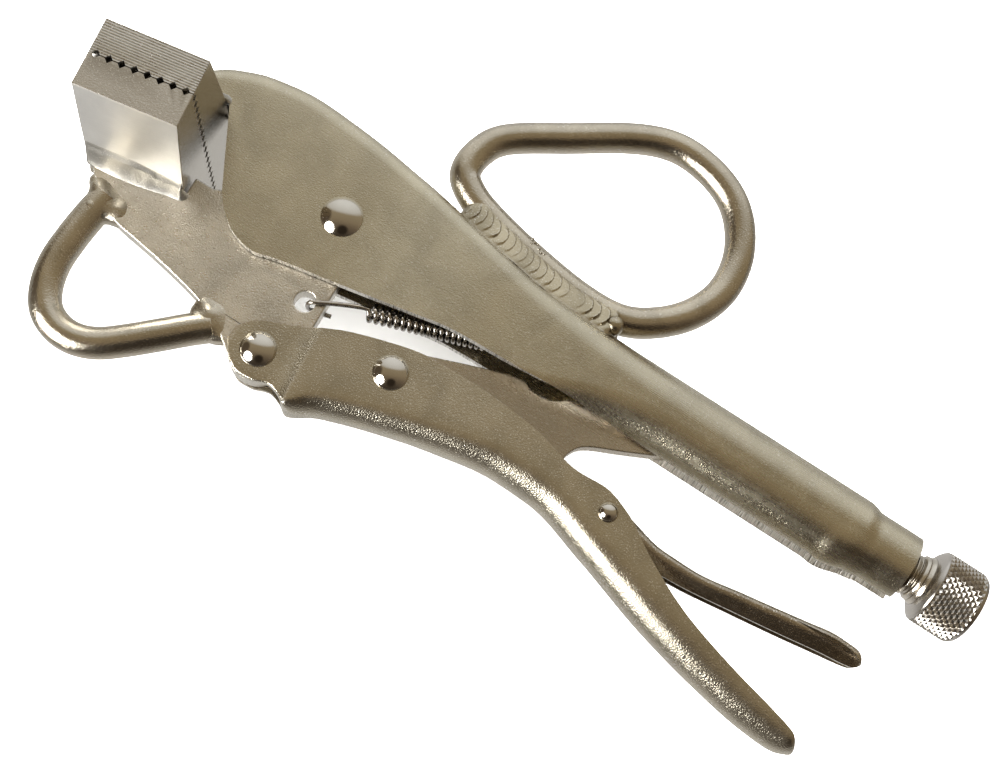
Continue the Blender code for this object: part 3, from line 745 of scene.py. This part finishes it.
def on_both_flanks(name, make_mesh, look, body, node, crease):
    """A weld on each flank, the right one turned over."""
    for flank in ("left", "right"):
        bm = make_mesh()
        if flank == "right":
            mirror(bm)
        piece(f"{name}_{flank}", bm, look, body, [f"{node}_{flank}"],
              crease=crease)


def build_jaw_welds():
    on_both_flanks("upper_jaw_weld_fillet", lambda: jaw_fillet(1, 5.1, 3.4, 2.4), "fillet", "upper_handle",
                   "upper_jaw_weld", 50.0)
    on_both_flanks("lower_jaw_weld_fillet", lambda: jaw_fillet(-1, PLATE_HALF, 6.4, 2.9), "fillet",
                   "lower_jaw", "lower_jaw_weld", 50.0)


# ---- rings

UPPER_RING = [(17.8, 29.3), (18, 36.5), (22, 43.2), (35, 52.7), (49, 62.4), (59, 66.4), (68.5, 66.1),
              (77.3, 62.9), (83.6, 57.1), (87.8, 48.7), (88.6, 39), (85.3, 30), (79, 22.8), (71, 18.2),
              (60, 17.3), (45, 19.1), (31, 22), (22.5, 25)]
LOWER_RING = [(-50.9, -26.6), (-51.4, -33), (-51.5, -40), (-51, -47), (-49, -53.2), (-45.6, -57.8),
              (-40.8, -60), (-35.8, -60), (-30.9, -58), (-26, -54), (-20.2, -48.4), (-15, -43.2),
              (-10.9, -39.4)]


def build_rings():
    piece("upper_ring_bar", sweep(spline(UPPER_RING, 14, closed=True), BAR_RADIUS, 40, closed=True), "bar",
          "upper_handle", ["upper_pull_ring"])
    piece("lower_ring_bar", sweep(spline(LOWER_RING, 14), BAR_RADIUS, 40), "bar", "lower_jaw",
          ["lower_pull_ring"], bevel=1.2, segments=4)


BAR_LINE = profile([(22.5, 25), (31, 22), (45, 19.1), (60, 17.3), (71, 18.2), (75, 20)])
BEAD_START, BEAD_END, BEAD_PITCH = 23.0, 72.2, 2.3
BEAD_STEPS = 20


def ball(bm, x, y, z, radius, subdivisions):
    bmesh.ops.create_icosphere(bm, subdivisions=subdivisions, radius=radius,
                               matrix=Matrix.Translation((x, y, z)))


def ring_bead():
    """A laid bead of overlapping scales that fills the corner between the bar and the shell."""
    rings = []
    shell_lean, bar_lean, sunk = radians(40.0), radians(8.0), 0.08
    for x in span(BEAD_START, BEAD_END, 0.18):
        bar_y = BAR_LINE(x)
        top, _, half, (corner_z, corner_y), _ = shell_size(x)
        on_shell = Vector((top - corner_y * (1.0 - cos(shell_lean)),
                           half - corner_z * (1.0 - sin(shell_lean)) - sunk))
        on_bar = Vector((bar_y + BAR_RADIUS * sin(bar_lean), BAR_RADIUS * cos(bar_lean) - sunk))
        valley = Vector((top + 0.2, half - corner_z - 0.6))
        across = on_shell - on_bar
        out = Vector((-across.y, across.x)).normalized()
        if out.y < 0.0:
            out = -out
        tail = sqrt(1.0 - (1.0 - clamp((x - BEAD_START) / 6.0)) ** 2)
        tail = tail * sqrt(1.0 - (1.0 - clamp((BEAD_END - x) / 3.4)) ** 2)
        section = []
        for i in range(BEAD_STEPS + 1):
            t = i / BEAD_STEPS
            middle = sin(pi * t)
            phase = (x - 1.7 * middle) / BEAD_PITCH + 0.5 * rough(x, 3.0, 1.0, 0.11)
            scale = phase - floor(phase)
            worn = clamp(0.75 + 1.5 * rough(floor(phase), 7.0, 2.0, 0.37))
            height = 0.5 * middle ** 0.8 + 0.75 * worn * (scale ** 0.9 - 0.45) * smooth(middle, 0.2, 0.7)
            height += 0.25 * rough(x, t * 4.0, 5.0, 0.3)
            section.append(valley.lerp(on_bar.lerp(on_shell, t) + out * height, tail))
        section += [Vector((top - 1.6, half - corner_z - 0.4)).lerp(valley, 0.5), Vector((bar_y - 2.4, 1.4))]
        rings.append([(x, point.x, point.y) for point in section])
    bead = loft(rings)
    ball(bead, 70.3, 14.5, 3.9, radius=2.5, subdivisions=4)
    return bead


def melt(name, balls, solids, turn_over, nodes):
    """Weld metal: lumps and the ends they join, flowed together and smoothed."""
    bm = bmesh.new()
    for place in balls:
        ball(bm, *place, subdivisions=3)
    for solid in solids:
        bmesh.ops.recalc_face_normals(solid, faces=solid.faces)
        copy = to_mesh("part", solid)
        bm.from_mesh(copy)
        bpy.data.meshes.remove(copy)
    if turn_over:
        mirror(bm)
    item = piece(name, bm, "weld", "lower_jaw", nodes)
    flow = item.modifiers.new("flow", "REMESH")
    flow.mode = "VOXEL"
    flow.voxel_size = 0.34 * MM
    flow.use_smooth_shade = True
    calm = item.modifiers.new("calm", "SMOOTH")
    calm.factor = 0.9
    calm.iterations = 60


# Each end of the lower ring: a patch of plate, and balls of melted metal as (x, y, z, radius)
FRONT_PATCH = [(-56.4, -22.6), (-44.6, -22.6), (-41.6, -30.6), (-46, -32), (-51, -30.6), (-55.6, -25.6)]
FRONT_BALLS = [(-53, -26.2, 0.9, 2.9), (-51.6, -31.4, 2.2, 2.3), (-45.8, -28.2, 0.7, 2.8),
               (-55.2, -24.6, 0.2, 2.4), (-47.8, -29.4, 0, 3.1), (-50, -28, 0.6, 3.2)]
REAR_PATCH = [(-18.4, -33), (-9, -33), (-5, -41), (-8.6, -43.2), (-13, -38.6), (-17.6, -36.4)]
REAR_BALLS = [(-15.2, -36.4, 0.6, 2.6), (-12.2, -37.6, 1.4, 2.9), (-10.8, -39.4, 1, 3),
              (-16, -38.6, 0.6, 2)]
SPATTER = [(41.6, 22.7, 2.7, 0.5), (42.6, 22, 3.1, 0.55), (43.5, 22.3, 2.8, 0.35), (44.4, 21.1, 3.4, 0.5),
           (45.3, 20.4, 3.8, 0.45), (42.1, 21.2, 3.5, 0.4), (46.2, 20.6, 3.6, 0.35), (40.6, 22.4, 3, 0.3)]


def build_ring_welds():
    on_both_flanks("upper_ring_weld_bead", ring_bead, "bead", "upper_handle", "upper_ring_weld", 60.0)
    ring = spline(LOWER_RING, 14)
    plate, sunk = PLATE_HALF - 0.06, 0.08
    for word, path, patch, balls in (("front", ring[:16], FRONT_PATCH, FRONT_BALLS),
                                     ("rear", ring[-14:], REAR_PATCH, REAR_BALLS)):
        for flank in ("left", "right"):
            solids = [sweep(path, BAR_RADIUS - sunk, 32), prism(patch, -plate, plate)]
            melt(f"lower_ring_weld_metal_{word}_{flank}", balls, solids, flank == "right",
                 [f"lower_ring_weld_{word}_{flank}"])
    bm = bmesh.new()
    for place in SPATTER:
        ball(bm, *place, subdivisions=2)
    piece("upper_ring_weld_spatter", bm, "weld", "upper_handle",
          ["upper_ring_weld_left"])


# ---- lower jaw and link plates

def build_jaw_plate():
    under = -(block_back(-1) + CLEARANCE)
    behind = JAW_LENGTH + CLEARANCE
    edge = spline([(-8.1, -40.3), (-17.2, -36.3), (-29.1, -33.7), (-38.1, -32.3), (-44.9, -31.2),
                   (-50.5, -28.6), (-56.2, -24)], 5)
    outline = [jaw_point(1.0, under), jaw_point(behind, under), jaw_point(behind + 0.6, -7.6),
               (-30.3, -10.9), (-22.0, -6.5), (-14.5, 0.0)]
    outline += arc(PIVOT, 10.4, 150.0, 0.0, 24)
    outline += [(8.7, -14.3), (9.7, -27.0), (9.6, -36.0)]
    outline += arc(JAW_HANDLE, 7.4, 15.0, -120.0, 24)
    outline += [tuple(p) for p in edge]
    plate = piece("lower_jaw_cheek", prism(outline, -PLATE_HALF, PLATE_HALF), "jaw_plate", "lower_jaw",
                  ["lower_jaw_plate"], bevel=0.45, segments=3, crease=35.0)
    spring_hole = [(-6, 0), (-6, 2.6), (6, 2.6), (6, 0)]
    carve(plate, turned(spring_hole, 40, around_z((4.3, -22.4))))


def build_link():
    upper = spline([(94, 4.6), (80, -0.6), (72, -6.2), (68.5, -9), (65.5, -10.3), (61.5, -10.1),
                    (58.5, -9.1), (50, -11.8), (37.8, -16.5)], 5)
    lower = spline([(62, -28.2), (73.5, -26), (77, -22.5), (77.8, -18.4), (80.5, -14.9), (89.1, -10.7),
                    (98, -6.2), (104, -2.4)], 5)
    outline = arc(TOGGLE, 7.2, 120.0, 285.0, 24) + [(47.0, -30.3)]
    outline += [tuple(p) for p in lower] + arc((103.8, 2.2), 4.2, -70.0, 100.0, 16)
    outline += [tuple(p) for p in upper]
    piece("toggle_bar", prism(outline, -LINK_HALF, LINK_HALF), "link", "toggle_link",
          ["toggle_link"], bevel=0.35, crease=35.0)


# ---- lower handle and lever

HANDLE_OPEN = profile([(-5.2, -37.4), (-4.3, -35.8), (-1.9, -33.4), (1.5, -31.6), (10.9, -27.6),
                       (24.8, -21.4), (38.5, -18.3), (51.6, -18.1), (68, -19.3), (82, -22.4), (89, -22),
                       (96.5, -24.2), (106.7, -30.4), (121.1, -37.3), (137, -42), (149, -44.8),
                       (155.5, -46.7), (158.8, -49.2)])
HANDLE_BACK = profile([(-5.2, -40.6), (-3.9, -42.6), (-1.4, -45.1), (1.7, -46.4), (4.8, -46.2),
                       (8.4, -44.8), (11, -45.6), (14, -47.4), (22, -44.3), (34, -40.2), (50, -36),
                       (66, -33.6), (76, -33.9), (93.2, -38.5), (114.4, -45.3), (132.3, -49.5),
                       (146, -51.7), (153, -52.1), (158.8, -51.4)])
HANDLE_START = -5.2
EAR_END = 13.4
CREASE = 13.0
HANDLE_NOSE = 155.2
LEVER_START = 82.0
LEVER_NOSE = 161.0


def rounded_nose(x, start, length):
    """Shrinks a section to a rounded tip beyond start."""
    return sqrt(max(0.03, 1.0 - clamp((x - start) / length) ** 2))


def nose_places(start, length, degrees):
    """Positions that follow the rounding of a tip evenly."""
    return [start + length * sin(radians(a)) for a in degrees]


def handle_ring(x):
    dip = clamp((CREASE - x) / 5.0)
    half_width = 6.6 - 1.4 * (1.0 - (1.0 - dip) ** 2) + 0.8 * smooth(x, 30.0, 62.0)
    half_width = half_width - 0.8 * smooth(x, 118.0, 158.8)
    top, low = -HANDLE_BACK(x), -HANDLE_OPEN(x)
    rounding = 0.5 + 5.0 * smooth(x, 11.0, 18.0)
    rounding += 1.2 * smooth(x, 40.0, 70.0)
    tail = smooth(x, 96.0, 134.0)
    corner = (min(rounding + 1.0 * tail, half_width - 0.6),
              min(rounding + 9.0 * tail, (0.55 + 0.38 * tail) * (top - low)))
    slant = smooth(x, 4.0, 11.0) * (1.0 - smooth(x, 16.0, 24.0))
    ring = channel_ring(x, -1, SHEET, top=top, low=low, half_width=half_width, corner=corner,
                        bend_radius=3.0)
    nose = rounded_nose(x, HANDLE_NOSE, 3.62)
    middle = -0.5 * (top + low)
    return [(px - 0.12 * (py + 34.6) * slant, middle + (py - middle) * nose, pz * nose)
            for px, py, pz in ring]


def build_handle():
    xs = stations(HANDLE_START, (8.0, 0.66), (CREASE, 0.5), (18.0, 0.5), (146.0, 2.2), (HANDLE_NOSE, 0.8))
    xs += nose_places(HANDLE_NOSE, 3.6, (12, 24, 36, 48, 60, 72, 90))
    handle = piece("lower_handle_skin", loft([handle_ring(x) for x in xs], second=lip_edges()),
                   ("handle", "sheared"), "lower_handle", ["lower_handle_shell"], bevel=0.34,
                   crease=30.0, bevel_look=1)
    slot = PLATE_HALF + 0.6
    between_ears = [(-12.0, -60.0), (EAR_END, -60.0), (EAR_END, -10.0), (-12.0, -10.0)]
    carve(handle, prism(between_ears, -slot, slot))


LEVER_TOP = profile([(82, -25.4), (88, -23.4), (94, -23), (99, -24), (109, -26.2), (117, -26.3),
                     (131, -24.3), (147, -21.7), (155, -20.4), (160, -20.3), (162.4, -21), (163.4, -22.4)])
LEVER_LOW = profile([(82, -29.2), (94, -30.9), (106, -31.8), (115, -31.4), (131, -29.5), (143, -27.9),
                     (153, -26.4), (159, -25.6), (162.4, -24.8), (163.4, -23.9)])


def lever_ring(x):
    half_width = 5.2 - 1.9 * smooth(x, 150.0, 163.6)
    top, low = LEVER_TOP(x), LEVER_LOW(x)
    corner = (min(3.0, half_width - 0.6), min(2.8, 0.6 * (top - low)))
    ring = channel_ring(x, 1, LEVER_SHEET, top=top, low=low, half_width=half_width, corner=corner,
                        bend_radius=3.0)
    taper = 0.5 * smooth(x, 96.0, 108.0)
    nose = rounded_nose(x, LEVER_NOSE, 2.42)
    middle = 0.5 * (top + low)
    return [(px, middle + (py - middle) * nose, pz * nose * (1.0 - taper * clamp((top - py) / (top - low))))
            for px, py, pz in ring]


def build_lever():
    xs = stations(LEVER_START, (136.0, 1.8), (LEVER_NOSE, 1.0))
    xs += nose_places(LEVER_NOSE, 2.4, (14, 28, 42, 56, 70, 90))
    lever = piece("release_lever_skin", loft([lever_ring(x) for x in xs], second=lip_edges()),
                  ("lever", "sheared"), "release_lever", ["release_lever"], bevel=0.24)
    slit = [(144, -23.25), (150, -23.2), (155, -23), (159, -23), (161.2, -23.1), (161.9, -22.75),
            (161.3, -22.2), (159, -21.75), (155, -21.75), (150, -22.45)]
    carve(lever, prism(slit, 0.6, 8.0))


# ---- rivets

def build_rivet(name, node, body, centre, pin_radius, seat, head_radius, head_height):
    """A pin across the tool with a domed head on each side, seated at +-seat."""
    sphere = (head_radius ** 2 + head_height ** 2) / (2.0 * head_height)
    limit = atan2(head_radius, sphere - head_height)
    dome = [(seat, head_radius - 0.12), (seat + 0.12, head_radius)]
    for i in range(1, 13):
        angle = limit * (1.0 - i / 12)
        dome.append((seat + 0.16 + sphere * cos(angle) - (sphere - head_height), sphere * sin(angle)))
    half = [(seat, pin_radius)] + dome
    points = [(-height, radius) for height, radius in reversed(half)] + half
    points[0] = (points[0][0], 0.0)
    points[-1] = (points[-1][0], 0.0)
    piece(name, turned(points, 56, around_z(centre)), "rivet", body, [node],
          crease=50.0)


def build_rivets():
    build_rivet("main_rivet_head", "main_pivot_rivet", "upper_handle", PIVOT, 3.4, 5.1, 5.2, 2.3)
    build_rivet("jaw_handle_rivet_head", "jaw_handle_rivet", "lower_jaw", JAW_HANDLE, 2.9, 5.2, 4.4, 2.2)
    build_rivet("toggle_rivet_head", "toggle_rivet", "lower_handle", TOGGLE, 2.9, 6.6, 4.4, 2.2)
    build_rivet("lever_rivet_head", "release_lever_rivet", "lower_handle", LEVER_PIVOT, 1.5, 7.4, 2.4, 1.5)


# ---- spring, screw, knob

SPRING_START = Vector((18.2, -15.4, 0.0))
SPRING_END = Vector((46.5, -5.4, 0.0))
COIL_RADIUS = 1.95
WIRE_RADIUS = 0.58
TURNS = 19
TURN_STEPS = 22


def build_spring():
    """A hook through the jaw plate, the coil, and a loop around the anchor pin, in one wire."""
    direction = (SPRING_END - SPRING_START).normalized()
    side = Vector((-direction.y, direction.x, 0.0))
    up = Vector((0.0, 0.0, 1.0))
    length = (SPRING_END - SPRING_START).length
    coil = []
    steps = TURNS * TURN_STEPS
    for i in range(steps + 1):
        share = i / steps
        angle = 0.5 * pi + 2.0 * pi * TURNS * share
        run = length * (share * 1.12 - 0.12 * share ** 2)
        coil.append(SPRING_START + direction * run + (side * cos(angle) + up * sin(angle)) * COIL_RADIUS)
    hook = spline([(10.6, -20.6, -3.35), (7.6, -21.4, -3.3), (5.4, -22.1, -2.6), (4.9, -22.3, 0.0),
                   (5.5, -22.0, 2.8), (7.5, -20.9, 3.3), (12.0, -18.3, 3.05), (16.6, -15.8, 2.2),
                   tuple(coil[0])], 6)[:-1]
    loop = [Vector((*p, 0.0)) for p in arc(ANCHOR, 2.1, -175.0, 120.0, 18)]
    tail = spline([tuple(coil[-1]), tuple(SPRING_END + direction * 2.0 + up * 1.2),
                   tuple(SPRING_END + direction * 6.0), (58.0, -0.9, 0.0), tuple(loop[0])], 6)[1:]
    item = place_mesh("tension_spring_wire", sweep(hook + coil + tail + loop[1:], WIRE_RADIUS, 10))
    item.data.materials.append(MATERIALS["wire"])
    item.data.shade_smooth()
    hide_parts("tension_spring")
    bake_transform(item)


def build_screw():
    """A plain nose inside the tube, a helical thread, and a smooth collar before the knob."""
    pitch, root, crest = 1.5, 4.95, 5.7
    steps = 64
    start, end = 146.0, 164.3
    xs = span(start, end, pitch / 8)

    def radius(x, angle):
        turn = (x - start) / pitch - angle / (2.0 * pi)
        tri = abs(2.0 * (turn - floor(turn)) - 1.0)
        fade = smooth(x, start, start + 1.0) * (1.0 - smooth(x, end - 0.7, end))
        return root + (crest - root) * clamp(1.35 * tri - 0.1) * fade

    nose = [(113.2, 3), (114.2, 4), (121, 4.2), (140, 4.4), (145.5, 4.95)]
    collar = [(164.4, 5), (164.5, 5.6), (164.8, 6), (165.5, 6.1), (165.7, 5.9), (165.9, 6.2), (166.85, 6.5)]
    rings = [[around_x(x, r, angle) for angle in turns(steps)] for x, r in nose]
    rings += [[around_x(x, radius(x, angle), angle) for angle in turns(steps)] for x in xs]
    rings += [[around_x(x, r, angle) for angle in turns(steps)] for x, r in collar]
    piece("adjusting_screw_thread", loft(rings), "screw", "adjusting_screw",
          ["adjusting_screw"], crease=45.0)


def build_knob():
    """A drum with a diamond knurl between smooth chamfers."""
    count, cells, pitch = 34, 4, 1.86
    steps = count * cells
    first, last = KNOB_START + 1.75, KNOB_START + KNOB_LENGTH - 1.35
    rows = int((last - first) / (pitch / cells))
    depth = 0.72
    bm = bmesh.new()

    def ring(x, radii):
        return [bm.verts.new(around_x(x, r, angle)) for r, angle in zip(radii, turns(steps))]

    def height(i, k):
        a, b = (k + i) % cells, (k - i) % cells
        return min(1.0 - abs(2.0 * a / cells - 1.0), 1.0 - abs(2.0 * b / cells - 1.0))

    grid = []
    for i in range(rows + 1):
        x = first + (last - first) * i / rows
        fade = smooth(i, -1.0, 2.5) * (1.0 - smooth(i, rows - 2.5, rows + 1.0))
        grid.append(ring(x, [KNOB_RADIUS - depth * (1.0 - height(i, k)) * fade - 0.3 * (1.0 - fade)
                             for k in range(steps)]))
    lead = [ring(KNOB_START + x, [r] * steps) for x, r in
            ((0.0, 6.9), (0.12, 7.35), (0.5, 8.0), (1.15, 8.9), (1.45, 9.15), (1.7, 9.25))]
    tail = [ring(KNOB_START + KNOB_LENGTH - x, [r] * steps) for x, r in
            ((1.3, 9.3), (0.9, 9.2), (0.35, 8.85), (0.08, 8.45), (0.0, 8.1))]
    bridge(bm, lead + grid[:1])
    bridge(bm, grid[-1:] + tail)
    for i in range(rows):
        for k in range(steps):
            n = (k + 1) % steps
            split_quad(bm, grid[i][k], grid[i][n], grid[i + 1][n], grid[i + 1][k],
                       from_a=(i + k) % 2 == 0)
    cap(bm, lead[0], tail[-1])
    piece("adjusting_knob_knurled", bm, "knob", "adjusting_knob", ["adjusting_knob"],
          crease=19.0)


def dress_cad_nodes():
    """Looks for the two CAD pieces that stay visible."""
    for name, look in (("upper_jaw_tang", "jaw_plate"), ("spring_anchor_pin", "rivet")):
        node = frame["nodes"][name]
        node.data.materials.clear()
        node.data.materials.append(MATERIALS[look])
        soften(node, 0.2, 40.0)


# ---- light, floor, camera

# Directions from the tool to what it reflects
ROOM_BACK = (-0.352, 0.899, 0.262)
FLAT_BACK = (-0.5575, 0.8302, 0.0)
DARK_CORNER = (-0.899, -0.265, 0.351)
DARK_FIGURE = (0.436, -0.614, 0.657)
WINDOW = (-0.472, -0.778, 0.416)
UP = (0.0, 0.0, 1.0)


def area_light(name, place, target, size, energy, colour=(1.0, 1.0, 1.0), glossy=True):
    data = bpy.data.lights.new(name, "AREA")
    data.energy = energy
    data.color = colour
    data.shape = "ELLIPSE"
    data.size, data.size_y = size
    item = link_object(name, data)
    item.location = place
    item.rotation_mode = "QUATERNION"
    item.rotation_quaternion = (Vector(target) - Vector(place)).to_track_quat("-Z", "Y")
    item.visible_glossy = glossy
    item.visible_camera = False


def build_camera():
    data = bpy.data.cameras.new("camera")
    data.lens = 51.015
    data.sensor_width = 36.0
    data.clip_start = 0.01
    camera = link_object("camera", data)
    camera.matrix_world = Matrix(((0.8406, -0.5397, 0.0450, 0.012408),
                                  (0.5305, 0.8037, -0.2695, -0.109342),
                                  (0.1093, 0.2504, 0.9619, 0.365805),
                                  (0.0, 0.0, 0.0, 1.0)))
    bpy.context.scene.camera = camera


def build_floor():
    bm = bmesh.new()
    bmesh.ops.create_grid(bm, x_segments=1, y_segments=1, size=0.95)
    item = link_object("floor", to_mesh("floor", bm))
    s = Shade(bpy.data.materials.new("pale_floor"), "Principled BSDF")
    clouds = s.ramp(s.noise(0.02, 2.0), [(0.3, (0.93, 0.93, 0.925)), (0.7, (0.95, 0.95, 0.945))])
    s.feed(s.shader, "Base Color", clouds)
    s.feed(s.shader, "Roughness", 0.9)
    s.feed(s.shader, "Specular IOR Level", 0.1)
    item.data.materials.append(s.owner)
    item.visible_glossy = False


def build_world():
    """A dim warm room: a pale wall beyond the tool's back, a dark side before it, a pale table below."""
    bpy.context.scene.world = bpy.data.worlds.new("studio")
    s = Shade(bpy.context.scene.world, "Background")

    def along(direction, stops):
        """Stops are (dot product of the ray with direction, level or colour)."""
        dot = s.node("ShaderNodeVectorMath", {"operation": "DOT_PRODUCT"}, i0=s.coords.outputs["Generated"],
                     i1=Vector(direction).normalized()).outputs["Value"]
        level = s.node("ShaderNodeMapRange", Value=dot, From_Min=-1.0).outputs["Result"]
        return s.ramp(level, [(0.5 + 0.5 * place, colour) for place, colour in stops])

    room = along(ROOM_BACK, [(-1.0, (0.045, 0.035, 0.025)), (-0.72, (0.07, 0.055, 0.04)),
                             (-0.25, (0.17, 0.13, 0.088)), (0.12, (0.29, 0.23, 0.15)),
                             (0.53, (0.345, 0.285, 0.19)), (0.68, (0.66, 0.65, 0.62)),
                             (1.0, (0.90, 0.91, 0.91))])
    room = s.mix(along(DARK_CORNER, [(0.88, 0.0), (0.95, 1.0)]), room, (0.10, 0.075, 0.05, 1.0))
    room = s.mix(along(DARK_FIGURE, [(0.90, 0.0), (0.965, 1.0)]), room, (0.03, 0.022, 0.015, 1.0))
    table = along(FLAT_BACK, [(-1.0, (0.22, 0.20, 0.18)), (0.1, (0.17, 0.155, 0.135)),
                              (0.5, (0.34, 0.33, 0.31)), (0.8, (0.60, 0.60, 0.59))])
    table = s.mix(along(UP, [(-0.78, 1.0), (-0.22, 0.0)]), table, (0.66, 0.65, 0.63, 1.0))
    seen = s.mix(along(UP, [(-0.06, 0.0), (0.02, 1.0)]), table, room)
    to_camera = s.node("ShaderNodeLightPath").outputs["Is Camera Ray"]
    s.feed(s.shader, "Color", s.mix(to_camera, seen, (0.93, 0.93, 0.93, 1.0)))


def build_light():
    """A soft overhead light that the metal doesn't mirror, and a window that it does."""
    centre = Vector((0.0, 0.0, 0.03))
    area_light("overhead", (0.0, 0.1, 1.1), centre, (1.8, 1.8), 95.0, glossy=False)
    area_light("window", centre + Vector(WINDOW) * 0.8, centre, (0.56, 0.62), 9.0, (1.0, 1.0, 0.985))


build_camera()
build_floor()
build_world()
build_light()
build_upper_handle()
build_block("upper_jaw_block_body", 1, "upper_handle")
build_block("lower_jaw_block_body", -1, "lower_jaw")
build_jaw_welds()
build_rings()
build_ring_welds()
build_jaw_plate()
build_link()
build_handle()
build_lever()
build_rivets()
build_spring()
build_screw()
build_knob()
dress_cad_nodes()

bpy.context.scene.view_settings.view_transform = "Standard"
